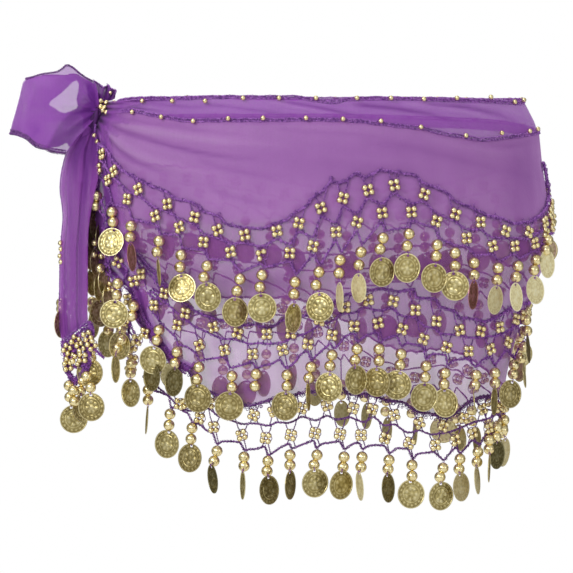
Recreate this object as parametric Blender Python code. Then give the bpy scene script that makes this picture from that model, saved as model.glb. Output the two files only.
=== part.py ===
"""Belly dance hip scarf, worn: a chiffon wrap that goes once round the hips and is tied at the left hip.

Frame: metres, +Z up, the front faces -Y, the wearer's side with the knot is at -X.
The origin is the middle of the hips at the height of the knot.
Round the body, places are given by an angle: -90 is the knot, 0 the middle of the front,
90 the right hip, 180 the middle of the back and 270 the knot again.
"""

import math

import bpy
import numpy as np

MM = 0.001

# --- driving sizes -------------------------------------------------------------------------
CLOTH = 1.0 * MM  # wall of a chiffon panel
LAP_IN = 0.9 * MM  # the upper lap lies this far inside the panel
NET_FROM, NET_TO = 1.8 * MM, 3.2 * MM  # crochet net, out from the panel's inner face
FRINGE_FROM, FRINGE_TO = 3.8 * MM, 9.0 * MM  # beads and coins
PENDANT = 42.0 * MM  # from a net's point to the bottom of its coin
BACK_NET = 36.0 * MM  # height of a net at the back
EDGE_HALF = 1.7 * MM  # half the height of the beaded crochet edges
SEAM = 0.3 * MM
STEP_ROUND = 7.0  # degrees between two columns
STEP_DOWN = 15.0 * MM  # between two rows
FRONT_FROM, FRONT_TO = -84.0, 89.95
BACK_FROM, BACK_TO = 90.05, 264.0

# The front is drafted on an elevation grid of 0.8 mm squares, seen square on from 2 m.
# Across counts to the right and down counts downwards; EYE_X and EYE_Z are at grid 286.5, 286.5.
GRID, GRID_MID, EYE_FAR = 0.8 * MM, 286.5, 2.0
EYE_X, EYE_Z = -37.2 * MM, -139.2 * MM

# Girth of the worn cloth, from a general figure and the drafted outline, in mm.
FORM = [  # height, left half width, right half width, half depth
    (32, 166, 146, 105),
    (12, 172, 152, 108),
    (0, 177, 158, 110),
    (-12, 184, 164, 112),
    (-42, 188, 170, 115),
    (-80, 187, 174, 117),
    (-103, 185, 173.5, 117),
    (-125, 180, 167, 115.5),
    (-150, 171, 156, 112),
    (-177, 162, 147, 108),
    (-209, 155, 139, 104),
    (-236, 150, 135, 101),
    (-270, 147, 133, 99),
    (-330, 145, 131, 97),
]

# Edges and seams of the front on the elevation grid: across, down.
TOP_EDGE = [(115, 103), (147, 98), (212, 97), (262, 97), (322, 100.5), (382, 98), (454, 100), (526, 100)]
SECOND_EDGE = [(115, 112), (160, 116), (193, 120), (263, 120), (343, 120), (400, 126), (445, 134), (480, 139), (500, 138), (538, 132)]
HEM = [(100, 150), (106, 205), (114, 245), (130, 290), (143, 320), (160, 345), (189, 371), (205, 390), (248, 405), (305, 392), (343, 389), (389, 401), (430, 414), (447, 417), (468, 404), (489, 397), (499, 395)]
NET1_TOP = [(97, 140), (113, 160), (136, 178), (166, 191), (203, 211), (226, 224), (262, 229), (297, 211), (313, 197), (330, 183), (365, 176), (400, 173), (423, 183), (456, 202), (487, 216), (514, 223), (530, 221), (541, 214), (549, 190)]
NET1_LOW = [(100, 186), (112, 203), (133, 219), (159, 234), (181, 247), (207, 259), (240, 270), (295, 273), (319, 264), (361, 243), (383, 232), (409, 229), (437, 239), (474, 255), (498, 261), (518, 259), (536, 253), (549, 245)]
NET2_TOP = [(133, 250), (155, 275), (180, 299), (209, 317), (242, 325), (275, 325), (305, 316), (345, 295), (371, 290), (414, 292), (440, 306), (474, 319), (496, 318), (510, 309), (522, 298)]
NET2_LOW = [(133, 300), (159, 324), (177, 345), (199, 360), (232, 369), (287, 369), (311, 361), (332, 350), (357, 343), (379, 343), (401, 348), (426, 361), (476, 370), (495, 368), (514, 360), (521, 346)]
NET3_LOW = [(148, 384), (170, 408), (192, 424), (217, 443), (244, 452), (268, 456), (317, 450), (362, 451), (412, 460), (443, 461), (460, 454), (478, 446), (489, 437), (498, 430)]

# The same seams round the back: angle, height in mm.
TOP_EDGE_BACK = [(90, 10), (120, 14), (150, 18), (180, 19), (210, 19), (240, 15), (270, 8)]
SECOND_EDGE_BACK = [(90, -15.5), (105, -10), (120, -4), (150, 2), (180, 5), (210, 4), (240, 1), (270, 0)]
NET1_TOP_BACK = [(90, -61), (100, -48), (115, -42), (135, -48), (160, -58), (185, -54), (210, -40), (235, -38), (250, -30), (262, -16), (270, -10)]
NET2_TOP_BACK = [(90, -148), (100, -140), (120, -122), (150, -104), (180, -112), (210, -100), (235, -88), (248, -80), (270, -70)]
HEM_BACK = [(90, -226), (110, -213), (125, -200), (141, -191), (152, -194), (162, -188), (170, -178), (177, -165), (192, -149), (208, -148), (225, -149), (240, -138), (252, -106), (262, -52), (270, -24)]


def smooth(rows, at, column=1):
    """A smooth curve through a table's rows that keeps between neighbouring rows, read at one place."""
    rows = sorted(rows)
    x = np.array([r[0] for r in rows], float)
    y = np.array([r[column] for r in rows], float)
    step, rise = np.diff(x), np.diff(y) / np.diff(x)
    slope = np.zeros(len(x))
    for i in range(1, len(x) - 1):
        if rise[i - 1] * rise[i] > 0:
            w1, w2 = 2 * step[i] + step[i - 1], step[i] + 2 * step[i - 1]
            slope[i] = (w1 + w2) / (w1 / rise[i - 1] + w2 / rise[i])
    slope[0], slope[-1] = rise[0], rise[-1]
    at = min(max(at, x[0]), x[-1])
    i = min(max(int(np.searchsorted(x, at)) - 1, 0), len(x) - 2)
    t = (at - x[i]) / step[i]
    return (
        (2 * t**3 - 3 * t**2 + 1) * y[i]
        + (t**3 - 2 * t**2 + t) * step[i] * slope[i]
        + (3 * t**2 - 2 * t**3) * y[i + 1]
        + (t**3 - t**2) * step[i] * slope[i + 1]
    )


def half_sizes(z, sine):
    """Half width on the side that sine is on, and half depth, at height z."""
    h = z / MM
    return smooth(FORM, h, 1 if sine < 0 else 2) * MM, smooth(FORM, h, 3) * MM


def flutes(angle, z):
    """How far the hanging cloth waves in and out below the hips."""
    low = min(max((-z - 0.10) / 0.10, 0.0), 1.0)
    a = math.radians(angle)
    return 1.6 * MM * low * math.sin(9 * a + 1.0) * math.sin(2.2 * a + 0.4)


def on_form(angle, z, out, hung_from=None):
    """The point that lies out metres off the worn cloth's inner face. A hanging piece keeps the girth of hung_from."""
    s, c = math.sin(math.radians(angle)), math.cos(math.radians(angle))
    a, b = half_sizes(z if hung_from is None else hung_from, s)
    if hung_from is not None:
        a2, b2 = half_sizes(z, s)
        a, b = max(a, a2), max(b, b2)
    n = math.hypot(b * s, a * c)
    d = out + flutes(angle, z if hung_from is None else hung_from)
    return (a * s + d * b * s / n, -b * c - d * a * c / n, z)


def from_grid(across, down):
    """Angle and height of a point of the front's elevation that lies on the worn cloth."""
    y = -0.1
    for _ in range(12):
        k = GRID * (EYE_FAR + y) / EYE_FAR
        x, z = EYE_X + (across - GRID_MID) * k, EYE_Z - (down - GRID_MID) * k
        a, b = half_sizes(z, x)
        s = min(max(x / a, -1.0), 1.0)
        y = 0.5 * y - 0.5 * b * math.sqrt(1 - s * s)
    return math.degrees(math.asin(s)), z / MM


def seam(front, back):
    """Height of a seam at any angle from the knot round to the knot: the front's table and then the back's."""
    rows = [from_grid(*p) for p in front]
    kept = []
    for angle, height in rows:
        if not kept or angle > kept[-1][0] + 0.4:
            kept.append((angle, height))
    rows = [r for r in kept if r[0] < 88] + [tuple(back[0])] + [tuple(b) for b in back[1:]]
    return lambda angle: smooth(rows, angle) * MM


top_edge = seam(TOP_EDGE, TOP_EDGE_BACK)
second_edge = seam(SECOND_EDGE, SECOND_EDGE_BACK)
hem = seam(HEM, HEM_BACK)
net_top = [seam(NET1_TOP, NET1_TOP_BACK), seam(NET2_TOP, NET2_TOP_BACK), hem]
net_low = [
    seam(NET1_LOW, [(a, h - BACK_NET / MM) for a, h in NET1_TOP_BACK]),
    seam(NET2_LOW, [(a, h - BACK_NET / MM) for a, h in NET2_TOP_BACK]),
    seam(NET3_LOW, [(a, h - BACK_NET / MM) for a, h in HEM_BACK]),
]


def material(name, colour, roughness, metallic=0.0):
    m = bpy.data.materials.new(name)
    m.use_nodes = True
    p = m.node_tree.nodes["Principled BSDF"]
    p.inputs["Base Color"].default_value = (*colour, 1)
    p.inputs["Roughness"].default_value = roughness
    p.inputs["Metallic"].default_value = metallic
    m.diffuse_color = (*colour, 1)
    return m


def add(name, points, faces, look):
    mesh = bpy.data.meshes.new(name)
    mesh.from_pydata([tuple(p) for p in points], [], faces)
    mesh.update()
    mesh.shade_smooth()
    mesh.set_sharp_from_angle(angle=math.radians(50))
    obj = bpy.data.objects.new(name, mesh)
    bpy.context.scene.collection.objects.link(obj)
    mesh.materials.append(material(name + "_look", *look))
    return obj


def shell(name, inner, outer, look):
    """A closed wall between two grids of points of the same size. Its long way runs with rising angle and its short way down."""
    n, m = len(inner), len(inner[0])
    points = [p for col in inner for p in col] + [p for col in outer for p in col]
    at = lambda side, i, j: side * n * m + i * m + j
    faces = []
    for i in range(n - 1):
        for j in range(m - 1):
            faces.append((at(0, i, j), at(0, i + 1, j), at(0, i + 1, j + 1), at(0, i, j + 1)))
            faces.append((at(1, i, j), at(1, i, j + 1), at(1, i + 1, j + 1), at(1, i + 1, j)))
    for i in range(n - 1):
        faces.append((at(0, i, 0), at(1, i, 0), at(1, i + 1, 0), at(0, i + 1, 0)))
        faces.append((at(0, i + 1, m - 1), at(1, i + 1, m - 1), at(1, i, m - 1), at(0, i, m - 1)))
    for j in range(m - 1):
        faces.append((at(0, 0, j), at(0, 0, j + 1), at(1, 0, j + 1), at(1, 0, j)))
        faces.append((at(0, n - 1, j + 1), at(0, n - 1, j), at(1, n - 1, j), at(1, n - 1, j + 1)))
    # every quad is cut the same way, so that stacked walls keep their gap
    faces = [t for a, b, c, d in faces for t in ((a, b, c), (a, c, d))]
    return add(name, points, faces, look)


def angles(start, end):
    """The columns of a wall: shared places round the body, and its own two ends."""
    near_knot = [-80, -75, -69, 251, 256, 260]
    shared = near_knot + [k * STEP_ROUND for k in range(-9, 36)]
    inside = sorted(a for a in set(shared) if start + 1.0 < a < end - 1.0)
    return [start] + inside + [end]


def round_wall(name, start, end, top, low, frm, to, look, rows=None, hang=False):
    """A wall that follows the body from one angle to another, between two seams."""
    columns = angles(start, end)
    tallest = max(top(a) - low(a) for a in columns)
    rows = rows or max(1, math.ceil(tallest / STEP_DOWN))
    inner, outer = [], []
    for a in columns:
        zs = [top(a) + (low(a) - top(a)) * j / rows for j in range(rows + 1)]
        src = top(a) if hang else None
        inner.append([on_form(a, z, frm, src) for z in zs])
        outer.append([on_form(a, z, to, src) for z in zs])
    return shell(name, inner, outer, look)


VIOLET = ((0.22, 0.03, 0.34), 0.75)
CROCHET = ((0.09, 0.02, 0.20), 0.8)
GOLD = ((0.72, 0.56, 0.20), 0.35, 1.0)

for o in list(bpy.data.objects):
    bpy.data.objects.remove(o, do_unlink=True)

# --- chiffon: the wrap's outer panels and the lap that shows above them ----------------------
for side, start, end in (("front", FRONT_FROM, FRONT_TO), ("back", BACK_FROM, BACK_TO)):
    round_wall(side + "_panel", start, end, lambda a: second_edge(a) - EDGE_HALF - SEAM, hem, 0.0, CLOTH, VIOLET)
    round_wall(
        "upper_lap_" + side, start, end,
        lambda a: top_edge(a) - EDGE_HALF - SEAM,
        lambda a: second_edge(a) - 7.0 * MM,
        -LAP_IN - CLOTH, -LAP_IN, VIOLET, rows=3,
    )
    round_wall(
        "top_edge_" + side, start, end,
        lambda a: top_edge(a) + EDGE_HALF, lambda a: top_edge(a) - EDGE_HALF,
        -2.2 * MM, 0.2 * MM, CROCHET, rows=1,
    )
    round_wall(
        "second_edge_" + side, start, end,
        lambda a: second_edge(a) + EDGE_HALF, lambda a: second_edge(a) - EDGE_HALF,
        -0.2 * MM, 2.2 * MM, CROCHET, rows=1,
    )

# --- three tiers: a beaded net and its coin fringe, front and back ---------------------------
TIERS = [  # tier, front from, back to
    (1, -70.0, 258.0),
    (2, -58.5, 246.0),
    (3, -52.0, 238.0),
]
for tier, front_from, back_to in TIERS:
    for side, start, end in (("front", front_from, FRONT_TO), ("back", BACK_FROM, back_to)):
        top, low = net_top[tier - 1], net_low[tier - 1]
        drop = SEAM if tier < 3 else 1.0 * MM
        round_wall(
            f"tier{tier}_net_{side}", start, end,
            lambda a: top(a) - drop, low, NET_FROM, NET_TO, CROCHET, rows=3,
        )
        round_wall(
            f"tier{tier}_coin_fringe_{side}", start, end,
            lambda a: low(a) - SEAM, lambda a: low(a) - PENDANT,
            FRINGE_FROM, FRINGE_TO, GOLD, rows=1, hang=True,
        )

# --- the gathered ends of the tiers, which hang beside the tail ------------------------------
gather_top = lambda a: -58 * MM - (a + 84) * 1.0 * MM
gather_mid = lambda a: -112 * MM - (a + 84) * 1.0 * MM
round_wall("gathered_net", -83.0, -71.0, gather_top, gather_mid, NET_FROM, 6.5 * MM, CROCHET, hang=False)
round_wall(
    "gathered_coin_fringe", -83.0, -71.0,
    lambda a: gather_mid(a) - SEAM, lambda a: gather_mid(a) - 104 * MM,
    2.5 * MM, 9.0 * MM, GOLD, rows=2, hang=True,
)


def ring_solid(name, sections, look):
    """A closed solid through rings of points, capped at both ends."""
    n, m = len(sections), len(sections[0])
    points = [p for ring in sections for p in ring]
    faces = []
    for i in range(n - 1):
        for j in range(m):
            k = (j + 1) % m
            faces += [(i * m + j, i * m + k, (i + 1) * m + k), (i * m + j, (i + 1) * m + k, (i + 1) * m + j)]
    for start, turn in ((0, -1), ((n - 1) * m, 1)):
        middle = tuple(sum(points[start + j][k] for j in range(m)) / m for k in range(3))
        points.append(middle)
        c = len(points) - 1
        for j in range(m):
            a, b = start + j, start + (j + 1) % m
            faces.append((a, b, c) if turn > 0 else (b, a, c))
    return add(name, points, faces, look)


# --- the knot: a round lump with the wraps of cloth crossing it ------------------------------
KNOT_AT = (-190.0 * MM, -1.0 * MM, -3.0 * MM)
KNOT_HALF = (10.5 * MM, 12.5 * MM, 12.0 * MM)
rings = []
for i in range(9):
    up = math.radians(-72 + 18 * i)
    ring = []
    for j in range(16):
        r = math.radians(22.5 * j)
        lump = 1.0 - 0.10 * (0.5 + 0.5 * math.cos(3 * r + 2.5 * up))
        ring.append((
            KNOT_AT[0] + KNOT_HALF[0] * math.cos(up) * math.cos(r) * lump,
            KNOT_AT[1] + KNOT_HALF[1] * math.cos(up) * math.sin(r) * lump,
            KNOT_AT[2] + KNOT_HALF[2] * math.sin(up),
        ))
    rings.append(ring)
ring_solid("knot", rings, VIOLET)

# --- the half bow: a band of cloth that leaves the knot, turns back and returns ---------------
# share of the way out, low edge height, high edge height, in mm
BOW_EDGES = [(0.0, -11, 8), (0.25, -30, 24), (0.5, -32, 34), (0.75, -25, 30), (1.0, -17, 20)]
BOW_OUT = [(-201.5, -12), (-209, -25), (-224, -34), (-241, -34), (-253, -24), (-257.5, -12), (-253, 0), (-241, 8), (-224, 11), (-209, 7), (-201.5, 3)]
reach = BOW_OUT[0][0] - BOW_OUT[5][0]
inner, outer = [], []
for i, (x, y) in enumerate(BOW_OUT):
    before, after = BOW_OUT[max(i - 1, 0)], BOW_OUT[min(i + 1, len(BOW_OUT) - 1)]
    tx, ty = after[0] - before[0], after[1] - before[1]
    size = math.hypot(tx, ty)
    nx, ny = -ty / size, tx / size  # points away from the loop's hollow
    share = (BOW_OUT[0][0] - x) / reach
    low, high = smooth(BOW_EDGES, share, 1), smooth(BOW_EDGES, share, 2)
    inner.append([((x - nx * 0.5) * MM, (y - ny * 0.5) * MM, (high + (low - high) * j / 4) * MM) for j in range(5)])
    outer.append([((x + nx * 0.5) * MM, (y + ny * 0.5) * MM, (high + (low - high) * j / 4) * MM) for j in range(5)])
shell("bow_loop", outer, inner, VIOLET)

# --- the small ruffle of edge above the knot -------------------------------------------------
inner, outer = [], []
for i in range(9):
    x = -195.0 + 2.1 * i
    y = -3.0 + 3.0 * math.sin(1.25 * i)
    high = 23.0 + 3.0 * math.sin(0.9 * i + 0.6) - 0.35 * i
    inner.append([(x * MM, (y + 0.5) * MM, z * MM) for z in (high, 12.5)])
    outer.append([(x * MM, (y - 0.5) * MM, z * MM) for z in (high, 12.5)])
shell("knot_ruffle", inner, outer, VIOLET)

# --- the free end: a folded band that hangs from the knot ------------------------------------
TAIL = [  # height, left edge, right edge, depth of its folds, in mm
    (-16.5, -197.0, -187.5, 3.0),
    (-22, -199.5, -187.0, 3.0),
    (-34, -208.0, -186.5, 4.0),
    (-56, -215.0, -186.0, 4.5),
    (-90, -215.5, -191.0, 4.0),
    (-125, -215.5, -193.5, 3.5),
    (-160, -216.0, -194.0, 3.5),
    (-178, -215.5, -193.5, 3.0),
]
TAIL_BACK = 16.0  # how far forward the left edge hangs
TAIL_SLANT = 0.85  # forward for each mm to the right
TAIL_COLUMNS = 10


def tail_point(height, share, out):
    left, right, depth = (smooth(TAIL, height, k) for k in (1, 2, 3))
    x = left + (right - left) * share
    wave = depth * 0.5 * math.sin(share * 3.2 * math.pi + 0.3)
    y = -TAIL_BACK - (x + 216.0) * TAIL_SLANT - wave
    lean = max(0.0, (height + 56) / 40.0)  # the top runs back to the knot
    return (x * MM, (y * (1 - lean) - 4.0 * lean - out) * MM, height * MM)


inner, outer = [], []
for i in range(TAIL_COLUMNS):
    share = i / (TAIL_COLUMNS - 1)
    bottom = -182.0 + 15.0 * share
    hs = [-16.5 + (bottom + 16.5) * j / 11 for j in range(12)]
    inner.append([tail_point(h, share, -0.75) for h in hs])
    outer.append([tail_point(h, share, 0.75) for h in hs])
shell("tail", inner, outer, VIOLET)

for name, top_gap, drop, thick, look in (
    ("tail_net", SEAM / MM, 25.0, 0.75, CROCHET),
    ("tail_coin_fringe", 25.0 + 2 * SEAM / MM, 72.0, 3.0, GOLD),
):
    inner, outer = [], []
    for i in range(TAIL_COLUMNS):
        share = i / (TAIL_COLUMNS - 1)
        bottom = -182.0 + 15.0 * share
        hs = [bottom - top_gap - (drop - top_gap) * j / 2 for j in range(3)]
        for grid, out in ((inner, -thick), (outer, thick)):
            col = []
            for h in hs:
                x, y, _ = tail_point(-178, share, out)
                col.append((x, y, h * MM))
            grid.append(col)
    shell(name, inner, outer, look)
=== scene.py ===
import math

import bpy
import numpy as np
from mathutils import Matrix, Vector


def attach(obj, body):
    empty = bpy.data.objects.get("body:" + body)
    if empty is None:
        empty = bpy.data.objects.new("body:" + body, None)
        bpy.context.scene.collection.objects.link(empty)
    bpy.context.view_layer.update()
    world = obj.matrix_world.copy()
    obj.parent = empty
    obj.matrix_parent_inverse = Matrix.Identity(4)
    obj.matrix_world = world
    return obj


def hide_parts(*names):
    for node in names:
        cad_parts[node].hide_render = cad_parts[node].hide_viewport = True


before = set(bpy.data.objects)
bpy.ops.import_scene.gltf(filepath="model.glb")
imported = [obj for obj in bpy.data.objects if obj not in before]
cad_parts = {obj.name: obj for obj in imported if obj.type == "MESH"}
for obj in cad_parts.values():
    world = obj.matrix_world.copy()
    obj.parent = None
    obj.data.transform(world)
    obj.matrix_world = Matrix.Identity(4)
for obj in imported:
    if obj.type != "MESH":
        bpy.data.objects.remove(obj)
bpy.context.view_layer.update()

MM = 0.001
rng = np.random.default_rng(11)

# ---------------------------------------------------------------------------------------------
# camera, square on from 2 m; one grid square is 0.8 mm on the plane y = 0
# ---------------------------------------------------------------------------------------------
GRID, GRID_MID, EYE_FAR = 0.8 * MM, 286.5, 2.0
EYE_X, EYE_Z = -37.2 * MM, -139.2 * MM
cam_data = bpy.data.cameras.new("camera")
cam_data.sensor_width = 36.0
cam_data.lens = 36.0 * EYE_FAR / (573 * GRID)
cam_data.clip_start, cam_data.clip_end = 0.05, 50.0
cam = bpy.data.objects.new("camera", cam_data)
cam.location = (EYE_X, -EYE_FAR, EYE_Z)
cam.rotation_euler = (math.pi / 2, 0, 0)
bpy.context.scene.collection.objects.link(cam)
bpy.context.scene.camera = cam

# ---------------------------------------------------------------------------------------------
# the worn form and its seams, the same tables as the solids
# ---------------------------------------------------------------------------------------------
FORM = [  # height, left half width, right half width, half depth, in mm
    (32, 166, 146, 105), (12, 172, 152, 108), (0, 177, 158, 110), (-12, 184, 164, 112),
    (-42, 188, 170, 115), (-80, 187, 174, 117), (-103, 185, 173.5, 117), (-125, 180, 167, 115.5),
    (-150, 171, 156, 112), (-177, 162, 147, 108), (-209, 155, 139, 104), (-236, 150, 135, 101),
    (-270, 147, 133, 99), (-330, 145, 131, 97),
]
TOP_EDGE = [(115, 103), (128, 99), (147, 98), (186, 98), (212, 97), (262, 97), (295, 97), (322, 101), (336, 102), (347, 99), (382, 98), (454, 100), (487, 101), (517, 103), (526, 100)]
SECOND_EDGE = [(115, 112), (130, 110.5), (160, 116), (193, 120.5), (230, 120), (263, 120), (306, 119.5), (343, 120), (380, 123.5), (400, 126), (420, 128), (445, 134), (465, 137), (480, 139.5), (500, 138), (520, 135.5), (538, 132)]
HEM = [(100, 150), (106, 205), (114, 245), (130, 290), (143, 320), (160, 345), (175, 362), (189, 371), (205, 390), (218, 395), (248, 406), (256, 404), (272, 399), (294, 395), (305, 392), (343, 388), (348, 394), (366, 394), (389, 401), (405, 403), (416, 411), (430, 414), (447, 418), (458, 412), (468, 402), (482, 397), (489, 397), (499, 395)]
NET1_TOP = [(97, 140), (108, 151), (113, 160), (122, 170), (136, 178), (151, 186), (166, 191), (176, 199), (193, 202), (203, 211), (219, 216), (226, 224), (241, 227), (262, 229), (273, 224), (287, 220), (297, 211), (306, 207), (313, 197), (322, 192), (329, 183), (338, 182), (345, 182), (355, 173), (365, 178), (380, 170), (400, 173), (415, 175), (423, 183), (437, 188), (447, 193), (456, 202), (474, 209), (487, 216), (501, 218), (514, 224), (530, 222), (541, 215), (546, 208), (549, 190)]
NET1_LOW = [(100, 186), (112, 203), (133, 219), (159, 234), (181, 247), (207, 259), (240, 270), (295, 273), (319, 264), (361, 243), (383, 232), (409, 229), (437, 239), (474, 255), (498, 261), (518, 259), (536, 253), (549, 245)]
NET2_TOP = [(104, 162), (110, 195), (121, 226), (133, 250), (145, 265), (155, 275), (165, 287), (180, 299), (209, 317), (222, 320), (242, 325), (256, 324), (268, 328), (275, 325), (282, 320), (305, 316), (330, 305), (345, 295), (371, 290), (385, 289), (398, 292), (410, 290), (416, 298), (436, 299), (440, 307), (455, 311), (459, 318), (474, 319), (484, 322), (496, 318), (506, 311), (522, 298)]
NET2_LOW = [(133, 300), (159, 324), (177, 345), (199, 360), (232, 369), (287, 369), (311, 361), (332, 350), (357, 343), (379, 343), (401, 348), (426, 361), (476, 370), (495, 368), (514, 360), (521, 346)]
NET3_LOW = [(148, 384), (170, 408), (192, 424), (217, 443), (244, 452), (268, 456), (317, 450), (362, 451), (412, 460), (443, 461), (460, 454), (478, 446), (489, 437), (498, 430)]
TOP_EDGE_BACK = [(90, 10), (120, 14), (150, 18), (180, 19), (210, 19), (240, 15), (270, 8)]
SECOND_EDGE_BACK = [(90, -15.5), (105, -10), (120, -4), (150, 2), (180, 5), (210, 4), (240, 1), (270, 0)]
NET1_TOP_BACK = [(90, -61), (100, -48), (115, -42), (135, -48), (160, -58), (185, -54), (210, -40), (235, -38), (250, -30), (262, -16), (270, -10)]
NET2_TOP_BACK = [(90, -148), (100, -140), (120, -122), (150, -104), (180, -112), (210, -100), (235, -88), (248, -80), (270, -70)]
HEM_BACK = [(90, -226), (110, -213), (125, -200), (141, -191), (152, -194), (162, -188), (170, -178), (177, -165), (192, -149), (208, -148), (225, -149), (240, -138), (252, -106), (262, -52), (270, -24)]
BACK_NET = 36.0 * MM


def smooth(rows, at, column=1):
    """A smooth curve through a table's rows that keeps between neighbouring rows, read at one place."""
    rows = sorted(rows)
    x = np.array([r[0] for r in rows], float)
    y = np.array([r[column] for r in rows], float)
    step, rise = np.diff(x), np.diff(y) / np.diff(x)
    slope = np.zeros(len(x))
    for i in range(1, len(x) - 1):
        if rise[i - 1] * rise[i] > 0:
            w1, w2 = 2 * step[i] + step[i - 1], step[i] + 2 * step[i - 1]
            slope[i] = (w1 + w2) / (w1 / rise[i - 1] + w2 / rise[i])
    slope[0], slope[-1] = rise[0], rise[-1]
    at = np.clip(np.asarray(at, float), x[0], x[-1])
    i = np.clip(np.searchsorted(x, at) - 1, 0, len(x) - 2)
    t = (at - x[i]) / step[i]
    return (
        (2 * t**3 - 3 * t**2 + 1) * y[i]
        + (t**3 - 2 * t**2 + t) * step[i] * slope[i]
        + (3 * t**2 - 2 * t**3) * y[i + 1]
        + (t**3 - t**2) * step[i] * slope[i + 1]
    )


_h = np.arange(-340, 41, 1.0)
_left, _right, _deep = (smooth(FORM, _h, k) for k in (1, 2, 3))
_right = _right - 3.7 * np.exp(-((((GRID_MID - (_h * MM - EYE_Z) / GRID) - 178) / 45) ** 4))


def half_sizes(z, sine):
    h = np.asarray(z, float) / MM
    a = np.where(np.asarray(sine) < 0, np.interp(h, _h, _left), np.interp(h, _h, _right))
    return a * MM, np.interp(h, _h, _deep) * MM


def flutes(angle, z):
    low = np.clip((-np.asarray(z, float) - 0.10) / 0.10, 0, 1)
    a = np.radians(angle)
    return 1.6 * MM * low * np.sin(9 * a + 1.0) * np.sin(2.2 * a + 0.4)


def on_form(angle, z, out, hung_from=None):
    """Points that lie out metres off the worn cloth, as rows of x, y, z."""
    angle, z, out = np.broadcast_arrays(np.asarray(angle, float), np.asarray(z, float), np.asarray(out, float))
    s, c = np.sin(np.radians(angle)), np.cos(np.radians(angle))
    a, b = half_sizes(z, s)
    if hung_from is not None:
        a2, b2 = half_sizes(hung_from, s)
        a, b = np.maximum(a, a2), np.maximum(b, b2)
    n = np.hypot(b * s, a * c)
    d = out + flutes(angle, z if hung_from is None else hung_from)
    return np.stack([a * s + d * b * s / n, -b * c - d * a * c / n, z], -1)


def from_grid(across, down, out=0.0, hung_from=None):
    """Angle and height where a point of the front's elevation meets the form, out metres off it."""
    y = -0.1
    for _ in range(14):
        k = GRID * (EYE_FAR + y) / EYE_FAR
        x, z = EYE_X + (across - GRID_MID) * k, EYE_Z - (down - GRID_MID) * k
        a, b = half_sizes(z if hung_from is None else max(z, hung_from), x)
        if hung_from is not None:
            a2, b2 = half_sizes(z, x)
            a, b = max(a, a2), max(b, b2)
        s = min(max(x / (a + out), -1.0), 1.0)
        y = 0.5 * y - 0.5 * (b + out) * math.sqrt(1 - s * s)
    return math.degrees(math.asin(s)), z, y


def at_depth(across, down, y):
    """The point that shows at this place of the elevation and lies at depth y."""
    k = GRID * (EYE_FAR + y) / EYE_FAR
    return np.array([EYE_X + (across - GRID_MID) * k, y, EYE_Z - (down - GRID_MID) * k])


def place(across, down, out, hung_from=None):
    angle, z, y = from_grid(across, down, out, hung_from)
    return at_depth(across, down, y)


def seam(front, back):
    kept = []
    for p in front:
        angle, z, _ = from_grid(*p)
        if not kept or angle > kept[-1][0] + 0.25:
            kept.append((angle, z / MM))
    rows = sorted([r for r in kept if r[0] < 88] + [tuple(b) for b in back])
    xs = np.arange(-90, 270.01, 0.25)
    ys = smooth(rows, xs) * MM
    return lambda angle: np.interp(angle, xs, ys)


top_edge = seam(TOP_EDGE, TOP_EDGE_BACK)
second_edge = seam(SECOND_EDGE, SECOND_EDGE_BACK)
hem = seam(HEM, HEM_BACK)
net_top = [seam(NET1_TOP, NET1_TOP_BACK), seam(NET2_TOP, NET2_TOP_BACK), hem]
net_low = [
    seam(NET1_LOW, [(a, h - BACK_NET / MM) for a, h in NET1_TOP_BACK]),
    seam(NET2_LOW, [(a, h - BACK_NET / MM) for a, h in NET2_TOP_BACK]),
    seam(NET3_LOW, [(a, h - BACK_NET / MM) for a, h in HEM_BACK]),
]

# ---------------------------------------------------------------------------------------------
# materials
# ---------------------------------------------------------------------------------------------
def nodes_of(name):
    m = bpy.data.materials.new(name)
    m.use_nodes = True
    nt = m.node_tree
    return m, nt, nt.nodes["Principled BSDF"]


def link(nt, a, b):
    nt.links.new(a, b)


def node(nt, kind, **set_to):
    n = nt.nodes.new(kind)
    for k, v in set_to.items():
        if k in n.inputs:
            n.inputs[k].default_value = v
        else:
            setattr(n, k, v)
    return n


def ramp(nt, fac, stops):
    r = nt.nodes.new("ShaderNodeValToRGB")
    r.color_ramp.elements[0].position, r.color_ramp.elements[0].color = stops[0][0], (*stops[0][1], 1)
    r.color_ramp.elements[1].position, r.color_ramp.elements[1].color = stops[-1][0], (*stops[-1][1], 1)
    for pos, col in stops[1:-1]:
        r.color_ramp.elements.new(pos).color = (*col, 1)
    link(nt, fac, r.inputs["Fac"])
    return r.outputs["Color"]


def spread_to(nt, value, low, high):
    r = node(nt, "ShaderNodeMapRange")
    r.inputs["To Min"].default_value, r.inputs["To Max"].default_value = low, high
    link(nt, value, r.inputs["Value"])
    return r.outputs["Result"]


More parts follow.
